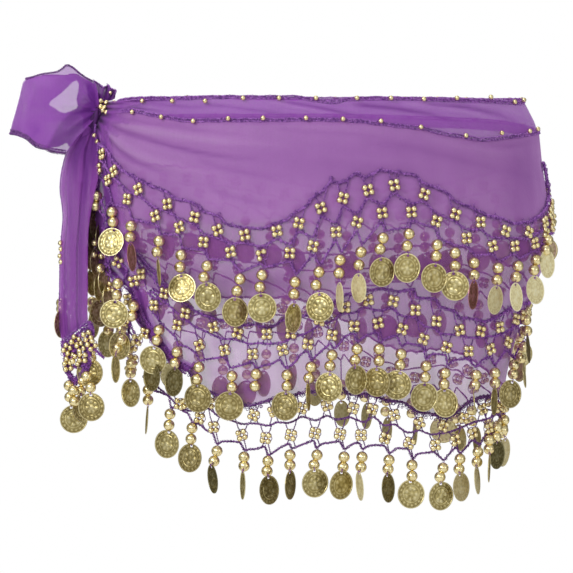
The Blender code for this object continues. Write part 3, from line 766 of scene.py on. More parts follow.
# Tone spots on the front lap: painted light in two bands and painted shade near the knot.
LAP_SHADE_AND_LIGHT_SPOTS = [(222, 103, 60, 8, -0.28), (512, 104, 16, 8, -0.3), (128, 106, 14, 8, 0.25)]


def round_sheet(name, start, end, columns, rows, top, low, out, look, side, lines, replaces, doubled=False):
    """A cloth that follows the body between two seams, with its creases."""
    ang = np.linspace(start, end, columns)
    # even steps along the girth
    ring = on_form(ang, -0.09, 0.0)
    along = np.concatenate([[0], np.cumsum(np.linalg.norm(np.diff(ring, axis=0), axis=1))])
    ang = np.interp(np.linspace(0, along[-1], columns), along, ang)
    t = np.linspace(0, 1, rows)
    z = top(ang)[:, None] + (low(ang) - top(ang))[:, None] * t[None, :]
    a2 = np.repeat(ang[:, None], rows, 1)
    flat = on_form(a2, z, out)
    if side == "front":
        p = grid_of(flat)
        deep, fold_and_shade = creases(p, lines)
        # painted shade and painted light spots added to the front's crease tone
        for x, y, rx, ry, size in SHADE_AND_LIGHT_SPOTS:
            fold_and_shade = fold_and_shade + size * np.exp(-(((p[..., 0] - x) / rx) ** 2 + ((p[..., 1] - y) / ry) ** 2)) * (p[..., 1] > 226)
        if name == "front_panel_cloth":
            fold_and_shade = fold_and_shade + spots(p.reshape(-1, 2), UPPER_SHADE_AND_LIGHT_SPOTS).reshape(fold_and_shade.shape)
        else:
            fold_and_shade = fold_and_shade + spots(p.reshape(-1, 2), LAP_SHADE_AND_LIGHT_SPOTS).reshape(fold_and_shade.shape)
    else:
        mirror = np.stack([GRID_MID + (a2 - 180.0) * 3.05, GRID_MID - (z - EYE_Z) / GRID], -1)
        deep, fold_and_shade = creases(mirror, lines)
        p = mirror
    # broad soft unevenness
    wob = 0.35 * np.sin(a2 * 0.33 + z * 60) * np.sin(z * 95 + a2 * 0.05) + 0.25 * np.sin(a2 * 0.71 + 2.0 - z * 40)
    calm = np.clip((1.0 - t) / 0.06, 0, 1)[None, :] * np.clip(t / 0.05, 0, 1)[None, :]
    pts = on_form(a2, z, out + (deep + wob * 0.5) * calm * MM)
    run = np.repeat(np.linspace(0, along[-1], columns)[:, None], rows, 1)
    uv = np.stack([run, z], -1)
    side_on = np.clip((a2 - 64.0) / 22.0, 0, 1)
    side_on = side_on**2 * (3 - 2 * side_on)
    ends = -91.0 * MM * (1 - side_on) + (net_top[0](a2) - 7.0 * MM) * side_on
    share = np.clip((a2 - 86.0) / 50.0, 0, 1)
    share = 1 - share**2 * (3 - 2 * share)
    backed = np.zeros_like(z)
    if doubled:
        backed = share / (1 + np.exp(-(z - ends) / ((1.6 + 2.6 * side_on) * MM)))
        fold_and_shade = fold_and_shade + 0.35 * np.exp(-(((a2 - 87.0) / 9.0) ** 2)) * np.clip((-z - 0.09) / 0.03, 0, 1) * (0.0 if side == "front" else 1.0)
    o = sheet_mesh(name, pts, uv, fold_and_shade, backed, look, replaces)
    o["columns"], o["rows"] = columns, rows
    return o


# creases of the back, in the same columns: painted shade in the troughs and painted highlight on the ridges
BACK_CREASES = [
    ([(540, 116), (500, 126), (455, 134), (400, 140), (340, 143)], -1.3, 2.6, 0.5),
    ([(540, 122), (505, 138), (470, 150), (430, 158), (380, 163)], 1.0, 4.0, -0.2),
    ([(540, 128), (516, 146), (490, 160), (460, 170)], -1.2, 2.6, 0.45),
    ([(60, 132), (120, 136), (200, 138), (280, 134)], -0.6, 3.0, 0.2),
    ([(60, 146), (110, 152), (170, 152), (240, 150)], 0.6, 4.5, -0.12),
    ([(120, 170), (124, 200), (130, 230)], -0.7, 3.6, 0.2),
    ([(200, 190), (204, 220), (206, 250)], 0.7, 4.0, -0.15),
    ([(290, 180), (290, 210), (292, 250)], -0.7, 3.6, 0.2),
    ([(360, 160), (362, 200), (360, 240)], 0.7, 4.0, -0.15),
    ([(430, 160), (428, 200), (424, 240)], -0.7, 3.6, 0.2),
    ([(90, 240), (96, 280), (100, 330)], -0.8, 3.6, 0.2),
    ([(160, 250), (164, 290), (166, 330)], 0.8, 4.4, -0.15),
    ([(240, 240), (244, 270), (246, 300)], -0.8, 3.6, 0.2),
]

front = round_sheet("front_panel_cloth", -84.0, 89.97, 208, 90, lambda a: second_edge(a) - 0.6 * MM, hem, 0.5 * MM, CHIFFON, "front", FRONT_CREASES, ["front_panel"], doubled=True)
back = round_sheet("back_panel_cloth", 90.03, 264.0, 160, 70, lambda a: second_edge(a) - 0.6 * MM, hem, 0.5 * MM, CHIFFON, "back", BACK_CREASES, ["back_panel"], doubled=True)
lap_front = round_sheet("front_lap_cloth", -84.0, 89.97, 200, 18, lambda a: top_edge(a) + 0.5 * MM, lambda a: second_edge(a) - 2.6 * MM, -1.4 * MM, CHIFFON_LAP, "front", LAP_CREASES, ["upper_lap_front"])
lap_back = round_sheet("back_lap_cloth", 90.03, 264.0, 130, 12, lambda a: top_edge(a) + 0.5 * MM, lambda a: second_edge(a) - 8.0 * MM, -1.4 * MM, CHIFFON_LAP, "back", [], ["upper_lap_back"])

# ---------------------------------------------------------------------------------------------
# beaded crochet edges
# ---------------------------------------------------------------------------------------------
def front_line(points, out, hung=None, step=2.0):
    """A line on the elevation grid, laid on the form."""
    p = np.asarray(points, float)
    d = np.concatenate([[0], np.cumsum(np.linalg.norm(np.diff(p, axis=0), axis=1))])
    at = np.linspace(0, d[-1], max(3, int(d[-1] / step)))
    q = np.stack([np.interp(at, d, p[:, 0]), np.interp(at, d, p[:, 1])], -1)
    return np.array([place(x, y, out, hung) for x, y in q])


def round_line(start, end, height, out, step=0.8):
    a = np.arange(start, end, step if end > start else -step)
    return on_form(a, height(a), out)


def frame_at(p):
    """Outward, sideways and up directions of the form at a point."""
    n = np.array([p[0] * 0.42, p[1], 0.0])
    n /= np.linalg.norm(n)
    s = np.array([-n[1], n[0], 0.0])
    return n, s, np.array([0.0, 0.0, 1.0])


def bead_turn(axis):
    """A turn that points a bead's hole along axis, with a chance spin."""
    z = np.asarray(axis, float) / np.linalg.norm(axis)
    x = np.cross(z, rng.standard_normal(3))
    x /= np.linalg.norm(x)
    return np.stack([x, np.cross(z, x), z], -1)


def zigzag(line, height, every, out_dir=None):
    p, at = resample(line, every)
    up = np.array([0, 0, 1.0])
    k = np.arange(len(p))
    return p + ((k % 2) * 2 - 1)[:, None] * up * height


TOP_BEADS = [(115, 103), (142, 101), (172, 101), (205, 101), (243, 98), (279, 98), (316, 98), (357, 98), (391, 98), (424, 99), (457, 98), (491, 97), (515, 102), (524, 100)]
SECOND_BEADS = [(132, 112), (161, 117), (193, 121), (228, 118.5), (263, 118), (306, 118), (343, 119), (381, 121), (421, 127), (466, 135.5), (502, 133), (530, 131), (538, 129)]
edge_yarn, edge_beads = {}, {}
for name, seam_of, out, beads, first, last in (
    ("top_edge", top_edge, -1.0 * MM, TOP_BEADS, -84, 264),
    ("second_edge", second_edge, 1.0 * MM, SECOND_BEADS, -84, 264),
):
    for side, s0, s1 in (("front", first, 90), ("back", 90, last)):
        pile = Pile()
        for shift, thick in ((1.0 * MM, 0.42 * MM), (-1.0 * MM, 0.42 * MM)):
            line = round_line(s0, s1, lambda a: seam_of(a) + shift, out)
            line[:, 2] += 0.25 * MM * np.sin(np.arange(len(line)) * 0.9 + shift * 900)
            yarn(pile, line, thick=thick, spin=0.46 * MM, pitch=2.6 * MM, sides=3, step=0.95 * MM if side == "front" else 1.5 * MM)
        mid = round_line(s0, s1, seam_of, out)
        yarn(pile, zigzag(mid, 1.15 * MM, 1.8 * MM), thick=0.36 * MM, spin=0.0, strands=1, sides=3, step=1.0 * MM, soft=0, fuzz=0)
        make(f"{name}_{side}_yarn", pile, YARN, replaces=[f"{name}_{side}"])
        pile = Pile()
        if side == "front":
            seats = [place(x, y, out + 2.6 * MM) for x, y in beads]
        else:
            seats = [on_form(a, seam_of(a) + 0.3 * MM, out + 2.6 * MM) for a in np.arange(98, 262, 11.5)]
        for s in seats:
            n, side_dir, up = frame_at(s)
            instances(pile, SMALL_BEAD, [s], [bead_turn(side_dir + 0.3 * rng.standard_normal(3))], [0.86])
        make(f"{name}_{side}_beads", pile, BEAD)

# ---------------------------------------------------------------------------------------------
# the three tiers of the front, on the elevation grid
# ---------------------------------------------------------------------------------------------
TIER = {
    1: dict(
        top=[(96, 134), (97, 142), (108, 151), (113, 160), (122, 170), (136, 178), (151, 186), (166, 191), (176, 199), (193, 202), (203, 211), (219, 216), (226, 224), (241, 227), (262, 229), (273, 224), (287, 220), (297, 211), (306, 207), (313, 197), (322, 192), (330, 183), (331, 176), (332, 182), (338, 183), (345, 182), (355, 173), (365, 178), (380, 170), (400, 173), (415, 175), (423, 183), (437, 188), (447, 193), (456, 202), (474, 209), (487, 216), (501, 218), (514, 224), (530, 222), (541, 215), (546, 208), (549, 196), (549, 186), (546, 173), (543, 162)],
        upper=[(103, 154), (115, 171), (139, 189), (168, 204), (195, 217), (218, 230), (245, 235), (277, 231), (299, 223), (321, 208), (343, 198), (368, 190), (394, 185), (424, 194), (455, 214), (480, 222), (505, 231), (528, 232), (544, 222)],
        lower=[(100, 169), (109, 180), (128, 199), (156, 216), (180, 227), (204, 242), (231, 252), (262, 255), (290, 253), (313, 246), (336, 232), (357, 222), (382, 213), (411, 212), (436, 221), (466, 238), (492, 246), (514, 246), (534, 243), (545, 233)],
        mid=None,
        low=None,
        pendants=[  # large bead, large bead, coin's middle, its width and height, tone, and an optional painted shade level
            (97, 196, 96, 206, None),
            (112, 212, 113, 222, (111, 242, 28, 31, 3)),
            (131, 226, 130, 237, (132, 257, 11, 28, -1)),
            (159, 241, 157, 252, (159, 272, 5, 28, 0)),
            (181, 255, 180, 267, (182, 288, 28, 30, 3, 0.74)),
            (207, 266, 204, 277, (208, 297, 28, 31, 0, 0.72)),
            (240, 279, 237, 291, (235, 312, 26, 30, -1)),
            (262, 275, 260, 287, (262, 308, 29, 30, 0, 0.95)),
            (295, 282, 294, 294, (293, 318, 17, 31, 0, 0.85)),
            (319, 272, 316, 285, (320, 307, 29, 32, 0, 0.72)),
            (340, 260, 339, 273, (340, 297, 7, 27, 2, 0.85)),
            (361, 252, 359, 265, (359, 288, 15, 31, 2, 0.85)),
            (383, 238, 380, 249, (382, 272, 27, 31, -1)),
            (409, 234, 407, 246, (407, 268, 27, 30, 0, 0.74)),
            (437, 245, 436, 256, (434, 278, 26, 29, -1)),
            (455, 253, 455, 266, (455, 286, 28, 30, 0, 0.74)),
            (474, 263, 474, 275, (473, 295, 12, 29, -1)),
            (498, 268, 497, 280, (495, 300, 17, 29, 2, 0.70)),
            (518, 266, 516, 277, (516, 297, 15, 29, 2)),
            (536, 260, 534, 270, (535, 290, 20, 28, 2, 0.92)),
            (548, 240, 546, 250, (547, 264, 22, 37, 2)),
        ],
    ),
    2: dict(
        top=[(133, 250), (145, 265), (155, 275), (165, 287), (180, 299), (194, 310), (209, 317), (222, 320), (242, 325), (256, 324), (268, 328), (275, 325), (282, 320), (305, 316), (330, 305), (345, 295), (371, 290), (385, 289), (398, 292), (414, 289), (416, 298), (436, 299), (439, 307), (455, 311), (459, 318), (474, 319), (484, 322), (496, 318), (506, 311), (518, 302)],
        upper=[(142, 274), (165, 293), (186, 313), (214, 327), (238, 333), (267, 334), (291, 333), (320, 320), (345, 307), (368, 300), (393, 301), (415, 310), (436, 321), (459, 330), (480, 331), (499, 327), (515, 319)],
        lower=[(155, 305), (178, 325), (200, 345), (225, 350), (253, 354), (283, 350), (308, 344), (332, 335), (354, 326), (378, 323), (402, 329), (423, 339), (446, 347), (468, 351), (490, 349), (507, 342), (521, 332)],
        mid=[(150, 290), (166, 303), (180, 315), (194, 326), (209, 333), (223, 339), (234, 339), (250, 344), (260, 343), (269, 344), (285, 342), (292, 337), (305, 334), (318, 326), (334, 320), (340, 314), (354, 313), (364, 307), (379, 311), (391, 308), (403, 317), (414, 317), (425, 327), (434, 328), (441, 334), (456, 335), (470, 338), (482, 337), (496, 336), (508, 331), (519, 322)],
        low=[(148, 306), (157, 317), (161, 323), (168, 330), (176, 337), (178, 345), (186, 346), (196, 353), (200, 361), (206, 359), (216, 358), (225, 357), (230, 368), (238, 366), (253, 362), (256, 369), (262, 366), (271, 364), (280, 359), (286, 369), (294, 363), (301, 354), (308, 350), (311, 361), (320, 352), (331, 343), (333, 349), (338, 346), (345, 336), (354, 333), (357, 343), (362, 338), (370, 334), (378, 332), (379, 344), (385, 339), (396, 335), (402, 347), (407, 343), (423, 347), (426, 360), (432, 354), (446, 355), (447, 366), (454, 360), (468, 359), (476, 368), (482, 360), (490, 357), (495, 366), (500, 358), (507, 350), (514, 358), (519, 348), (524, 340)],
        pendants=[
            (133, 305, 131, 316, None),
            (159, 330, 157, 340, (153, 360, 27, 29, 0, 0.74)),
            (177, 352, 175, 363, (174, 382, 19, 28, -1, 0.36)),
            (199, 367, 197, 379, (198, 398, 27, 28, -1, 0.48)),
            (232, 376, 232, 387, (229, 406, 28, 28, -1)),
            (256, 374, 255, 386, None),
            (287, 375, 287, 386, (285, 406, 26, 28, 0, 0.55)),
            (311, 367, 309, 378, (308, 396, 5, 28, 0)),
            (332, 355, 330, 366, (329, 387, 26, 28, 0, 0.78)),
            (357, 349, 355, 360, (356, 380, 22, 29, -1, 0.70)),
            (379, 349, 379, 361, (377, 382, 25, 29, 0, 0.50)),
            (401, 354, 400, 365, (397, 385, 28, 29, 0, 0.66)),
            (426, 366, 425, 377, (424, 397, 27, 28, -1, 0.68)),
            (445, 373, 444, 384, (445, 403, 26, 28, 0, 0.68)),
            (476, 375, 475, 385, (474, 402, 3, 28, 0)),
            (495, 373, 495, 383, (494, 401, 9, 28, -1, 0.48)),
            (514, 365, 513, 374, (510, 394, 24, 27, 0, 0.55)),
            (524, 347, 521, 358, (524, 374, 6, 26, 1)),
            (526, 320, 527, 331, (528, 349, 7, 26, -1)),
        ],
    ),
    3: dict(
        top=[(130, 290), (136, 305), (143, 320), (152, 334), (160, 345), (168, 354), (175, 362), (189, 371), (198, 382), (205, 390), (218, 395), (235, 400), (248, 406), (256, 404), (272, 399), (294, 395), (305, 392), (325, 391), (343, 388), (348, 395), (366, 394), (389, 401), (405, 403), (416, 412), (430, 414), (447, 418), (458, 412), (468, 402), (482, 397), (492, 396), (499, 394)],
        upper=[(158, 368), (172, 388), (187, 403), (210, 403), (232, 411), (254, 415), (274, 411), (302, 408), (327, 405), (353, 408), (372, 409), (394, 415), (419, 423), (443, 426), (463, 418), (482, 409), (495, 407)],
        lower=[(150, 378), (180, 404), (200, 418), (214, 427), (242, 435), (266, 438), (291, 435), (315, 433), (340, 434), (361, 435), (385, 438), (409, 443), (435, 445), (455, 440), (472, 433), (488, 428)],
        mid=[(146, 368), (154, 384), (169, 396), (176, 404), (188, 411), (209, 408), (218, 416), (233, 421), (242, 424), (254, 423), (269, 426), (276, 422), (289, 423), (294, 421), (302, 416), (316, 421), (327, 415), (336, 420), (350, 417), (364, 423), (373, 416), (384, 426), (395, 424), (405, 432), (411, 433), (419, 430), (431, 435), (451, 432), (465, 426), (474, 422), (488, 419), (497, 414)],
        low=[(143, 376), (149, 384), (152, 390), (160, 392), (169, 396), (171, 408), (176, 407), (188, 413), (193, 423), (200, 424), (206, 430), (213, 433), (217, 445), (222, 441), (229, 441), (240, 442), (245, 451), (249, 449), (256, 449), (265, 446), (268, 456), (281, 447), (290, 443), (291, 449), (301, 445), (314, 440), (316, 449), (321, 444), (340, 441), (344, 450), (349, 446), (355, 443), (360, 443), (362, 450), (368, 446), (376, 445), (385, 446), (389, 454), (397, 448), (408, 449), (413, 460), (417, 454), (434, 452), (444, 461), (449, 454), (456, 447), (460, 454), (465, 449), (472, 440), (480, 445), (484, 437), (490, 434), (497, 428)],
        pendants=[
            (148, 390, 148, 400, (147, 420, 4, 25, 0)),
            (170, 414, 169, 425, (167, 444, 25, 27, 0, 0.68)),
            (192, 428, 191, 439, (190, 458, 24, 27, 0, 0.50)),
            (217, 451, 214, 461, (213, 479, 11, 27, -1)),
            (244, 457, 244, 466, (243, 485, 6, 26, 1)),
            (268, 461, 267, 471, (269, 490, 19, 27, 0, 0.44)),
            (290, 455, 290, 465, (290, 485, 11, 25, -1, 0.42)),
            (317, 455, 314, 465, (315, 483, 26, 25, -1, 0.70)),
            (344, 457, 343, 467, (341, 485, 23, 26, 0, 0.58)),
            (362, 457, 361, 467, (360, 486, 7, 25, 2, 0.75)),
            (389, 460, 388, 469, (388, 488, 14, 26, -1)),
            (412, 465, 412, 476, (411, 494, 27, 26, 0, 0.70)),
            (443, 468, 440, 477, (441, 496, 25, 26, 0, 0.68)),
            (460, 459, 459, 469, (461, 487, 18, 26, 2, 0.50)),
            (478, 452, 477, 462, (477, 480, 8, 26, 2, 0.55)),
            (489, 440, 489, 449, (489, 468, 5, 24, 0)),
            (497, 428, 496, 437, (497, 455, 17, 28, -1)),
            (504, 420, 503, 430, (504, 452, 14, 28, 2, 0.6)),
        ],
    ),
}
NET_OUT = 2.4 * MM


def cluster(pile, yarn_pile, centre, turn, template, facing=None, count=4):
    """Beads strung round one crochet stitch: their middles, flat against the cloth."""
    n, s, up = frame_at(centre)
    if facing is not None:
        n = np.array(facing, float) / np.linalg.norm(facing)
        s, up = np.array([-n[1], n[0], 0.0]), np.array([0.0, 0.0, 1.0])
    gap = 2.62 * MM
    for k in range(count):
        a = turn + math.pi / 4 + k * math.pi / 2
        p = centre + gap * 1.21 * (math.cos(a) * s + math.sin(a) * up) + n * (0.9 * MM + 0.3 * MM * rng.random())
        instances(pile, template, [p], [bead_turn(math.cos(a + 1.57) * s + math.sin(a + 1.57) * up + 0.35 * rng.standard_normal(3))])
    w = np.linspace(0, 2 * math.pi, 9)
    for r, lift in ((1.3 * MM, 0.2 * MM), (4.6 * MM, -0.5 * MM)):
        loop = centre + r * (np.cos(w + turn)[:, None] * s + np.sin(w + turn)[:, None] * up) + n * lift
        yarn(yarn_pile, loop, thick=0.34 * MM, spin=0.0, strands=1, sides=3, step=1.2 * MM, soft=0, fuzz=0)


def turned_to(yaw, roll=0.0, pitch=0.0):
    return np.array(Matrix.Rotation(yaw, 3, "Z") @ Matrix.Rotation(pitch, 3, "X") @ Matrix.Rotation(roll, 3, "Y"))


def strung(threads, beads, coins, top, b1, b2, c, turn, kind, big, disc, wear_and_shade=None):
    """A pendant: thread from a net's point, two large beads and, on a small loop of thread, a coin."""
    axis1 = (np.asarray(top) - b1)
    axis2 = (np.asarray(b1) - b2)
    thread(threads, top, b1 + axis1 / np.linalg.norm(axis1) * 3.6 * MM)
    instances(beads, big, [b1, b2], [bead_turn(axis1), bead_turn(axis2)])
    if c is None:
        return
    v, f, e = disc[kind]
    coins.add(v @ turn.T + c, list(f), e, rng.uniform(0.72, 1.0) if wear_and_shade is None else wear_and_shade)
    eye = c + turn @ np.array([0.0, 0.0, 0.83 * COIN_R])
    rim = c + turn @ np.array([0.0, 0.0, 1.06 * COIN_R])
    foot = b2 - axis2 / np.linalg.norm(axis2) * 3.6 * MM
    face = turn @ np.array([0.0, 1.0, 0.0])
    for sign in (-1, 1):
        loop = np.array([foot, rim + sign * face * 0.75 * MM, eye + sign * face * 0.3 * MM])
        yarn(threads, loop, thick=0.26 * MM, spin=0.0, strands=1, sides=4, step=0.8 * MM, soft=0, fuzz=0)


def by_x(points):
    return sorted(points, key=lambda p: p[0])


def nearest_on(line, x):
    """Height on a grid line at x."""
    p = np.asarray(by_x(line), float)
    return float(np.interp(x, p[:, 0], p[:, 1]))


def front_tier(k):
    t = TIER[k]
    yarns, ties, threads, small, big, coins, pale = Pile(), Pile(), Pile(), Pile(), Pile(), Pile(), Pile()
    vs = [(p[0] + 1.2, p[1] - 7.0) for p in t["pendants"]]
    mid = t["mid"] or by_x([(x, y + 7.5) for x, y in t["upper"]] + [(x, y - 8.0) for x, y in t["lower"]])
    low = t["low"] or by_x([(x, y + 8.0) for x, y in t["lower"]] + vs)
    top_line = front_line(t["top"], NET_OUT - 0.4 * MM)
    yarn(yarns, top_line, thick=0.62 * MM, spin=0.98 * MM, step=0.78 * MM, sides=4, pitch=2.7 * MM, fuzz=0.24 * MM)
    picots(ties, top_line, every=(1.9, 1.9, 1.6)[k - 1] * MM, size=(1.05, 1.05, 1.35)[k - 1] * MM, stray=1.1)
    if k == 3:
        picots(ties, top_line - np.array([0, 0, 1.7 * MM]), every=2.3 * MM, size=1.3 * MM, stray=0.9)
    mid_line = front_line(mid, NET_OUT)
    yarn(yarns, mid_line, thick=(0.52, 0.52, 0.52)[k - 1] * MM, spin=(0.78, 0.74, 0.7)[k - 1] * MM, step=0.9 * MM, sides=4, pitch=2.6 * MM, fuzz=0.2 * MM)
    picots(ties, mid_line, every=(2.6, 3.0, 4.2)[k - 1] * MM, size=(0.95, 0.9, 0.7)[k - 1] * MM, stray=(0.9, 0.8, 0.4)[k - 1])
    low_line = front_line(low, NET_OUT, step=1.5)
    yarn(yarns, low_line, thick=(0.52, 0.52, 0.56)[k - 1] * MM, spin=(0.78, 0.74, 0.78)[k - 1] * MM, step=0.9 * MM, sides=4, pitch=2.6 * MM, soft=1, fuzz=0.2 * MM)
    picots(ties, low_line, every=(2.6, 3.0, 4.2)[k - 1] * MM, size=(0.95, 0.9, 0.7)[k - 1] * MM, stray=(0.9, 0.8, 0.4)[k - 1])
    # on round the right side to where the back's net starts
    for pts2, down, heavy in ((t["top"], 0.0, 1.25), (mid, 15.0, 1.0), (low, 29.0, 1.0)):
        a0, z0, _ = from_grid(pts2[-1][0], pts2[-1][1], NET_OUT)
        if a0 > 89.0:
            continue
        u = np.linspace(0, 1, 22)
        z1 = float(net_top[k - 1](90.6)) - down * MM
        line = on_form(a0 + (90.8 - a0) * u, z0 + (z1 - z0) * u - 3.0 * MM * np.sin(math.pi * u), NET_OUT - 0.2 * MM)
        yarn(yarns, line, thick=0.5 * heavy * MM, spin=0.74 * heavy * MM, step=0.9 * MM, sides=4, pitch=2.6 * MM, fuzz=0.2 * MM)
        picots(ties, line, every=2.8 * MM, size=0.9 * MM)
    for row, down in ((t["upper"], 9.0), (t["lower"], 21.5)):
        a0, z0, _ = from_grid(*row[-1], NET_OUT)
        z1 = float(net_top[k - 1](92.0)) - down * MM
        gap = (92.5 - a0) * math.pi / 180 * 0.118
        for j in range(1, int(gap / (17 * MM)) + 1):
            u = j / (int(gap / (17 * MM)) + 1)
            cluster(small, ties, on_form(a0 + (92.5 - a0) * u, z0 + (z1 - z0) * u, NET_OUT + 0.6 * MM), math.radians(rng.uniform(-24, 24)), SMALL_BEAD)
    for row, above, below in ((t["upper"], t["top"], mid), (t["lower"], mid, low)):
        for i, (x, y) in enumerate(row):
            c = place(x, y, NET_OUT + 0.6 * MM)
            turn = math.radians(rng.uniform(-24, 24))
            count = 3 if (k, row is t["lower"], i) == (1, True, 7) else 4
            cluster(small, ties, c, turn, SMALL_BEAD, count=count)
            for dx in (-5.0, 5.0):
                ya, yb = nearest_on(above, x + dx), nearest_on(below, x + dx)
                if y - 26 < ya < y:
                    line = front_line([(x + dx * 0.3, y - 3), (x + dx * 0.8, (ya + y) / 2 - 1), (x + dx * 1.1, ya)], NET_OUT - 0.2 * MM)
                    yarn(ties, line, thick=(0.36, 0.36, 0.34)[k - 1] * MM, spin=(0.46, 0.44, 0.40)[k - 1] * MM, sides=3, step=1.0 * MM, soft=0)
                if y < yb < y + 20:
                    line = front_line([(x + dx * 0.3, y + 3), (x + dx * 0.9, yb)], NET_OUT - 0.2 * MM)
                    yarn(ties, line, thick=(0.36, 0.36, 0.34)[k - 1] * MM, spin=(0.46, 0.44, 0.40)[k - 1] * MM, sides=3, step=1.0 * MM, soft=0)
    for i, (x1, y1, x2, y2, disc) in enumerate(t["pendants"]):
        vx, vy = vs[i]
        top = place(vx, vy, NET_OUT)
        hung = top[2]
        near = 5.4 * MM
        b1 = place(x1, y1, near, hung)
        b2 = place(x2, y2, near, hung)
        if disc is None:
            strung(threads, small, coins, top, b1, b2, None, None, 0, BIG_BEAD, COINS)
            continue
        x, y, w, h, tone, *own_wear_and_shade = disc
        yaw = math.acos(min(1.0, max(0.06, (w - 1.0 + 1.4 * w / 29) / max(h, 29.0))))
        angle, _, _ = from_grid(x, y, 6 * MM, hung)
        azim = math.radians(angle)  # the form's own outward turn here
        if abs(azim) > 0.55:
            sign = 1 if azim > 0 else -1
        else:
            sign = {3: -1, 2: -1, 1: -1, -1: 1, 0: 1 if rng.random() < 0.5 else -1}[tone]
        yaw *= sign
        near_y = math.sin(abs(yaw - math.atan2(0.42 * math.tan(azim), 1) * 1.0))
        out = 4.2 * MM + 11.2 * MM * near_y
        c = place(x, y, out, hung)
        lean = math.atan2(b2[0] - c[0], max(1e-4, b2[2] - c[2]))
        pitch = rng.uniform(-0.24, -0.14) if tone == 3 else rng.uniform(-0.10, 0.10)
        turn = turned_to(yaw, lean * math.cos(yaw) + rng.uniform(-0.12, 0.12), pitch)
        # Each coin's painted shade level by its tone: dull coins get painted shade and the narrow dull coins of the
        # first tier go mauve as a painted reflection of the cloth; others vary at random.
        wear_and_shade = {3: 0.9, 2: 1.0, 1: 0.85, 0: rng.uniform(0.56, 0.70), -1: 0.02 if k == 1 and w < 13 else (0.60 if w > 20 else rng.uniform(0.22, 0.34))}[tone]
        strung(threads, big, pale if tone == 2 else coins, top, b1, b2, c, turn, i % 3, BIG_BEAD, COINS, wear_and_shade=own_wear_and_shade[0] if own_wear_and_shade else wear_and_shade)
    make(f"tier{k}_front_chains", yarns, (YARN, YARN_MID, YARN_LOW)[k - 1], replaces=[f"tier{k}_net_front"])
    make(f"tier{k}_front_ties", ties, (YARN, YARN_MID, YARN_LOW)[k - 1])
    make(f"tier{k}_front_threads", threads, YARN_MID)
    make(f"tier{k}_front_small_beads", small, BEAD)
    make(f"tier{k}_front_large_beads", big, BEAD)
    make(f"tier{k}_front_coins", coins, COIN, replaces=[f"tier{k}_coin_fringe_front"], attribute="relief", smooth_angle=42)
    # Coins of tone 2 take the pale copy of the coin finish, as painted light.
    if pale.n:
        make(f"tier{k}_front_coins_pale", pale, COIN_PAINTED_LIGHT, attribute="relief", smooth_angle=42)


for k in (1, 2, 3):
    front_tier(k)

# ---------------------------------------------------------------------------------------------
# the tiers round the back
# ---------------------------------------------------------------------------------------------
BACK_TO = {1: 258.0, 2: 246.0, 3: 238.0}
# back coins that show below the front's hem: angle, height of the coin's middle in mm, turn
BACK_SEEN = [(132.6, -265.0, -0.62), (139.8, -258.5, 0.25), (151.0, -262.0, -1.18), (160.0, -261.0, -1.05), (169.0, -248.0, -1.08), (176.5, -246.0, -0.92), (184.7, -229.0, 0.85), (190.7, -215.5, 1.08), (199.0, -221.2, 0.82), (205.4, -229.0, 0.40), (213.2, -225.5, 0.53), (221.7, -214.3, 0.80)]


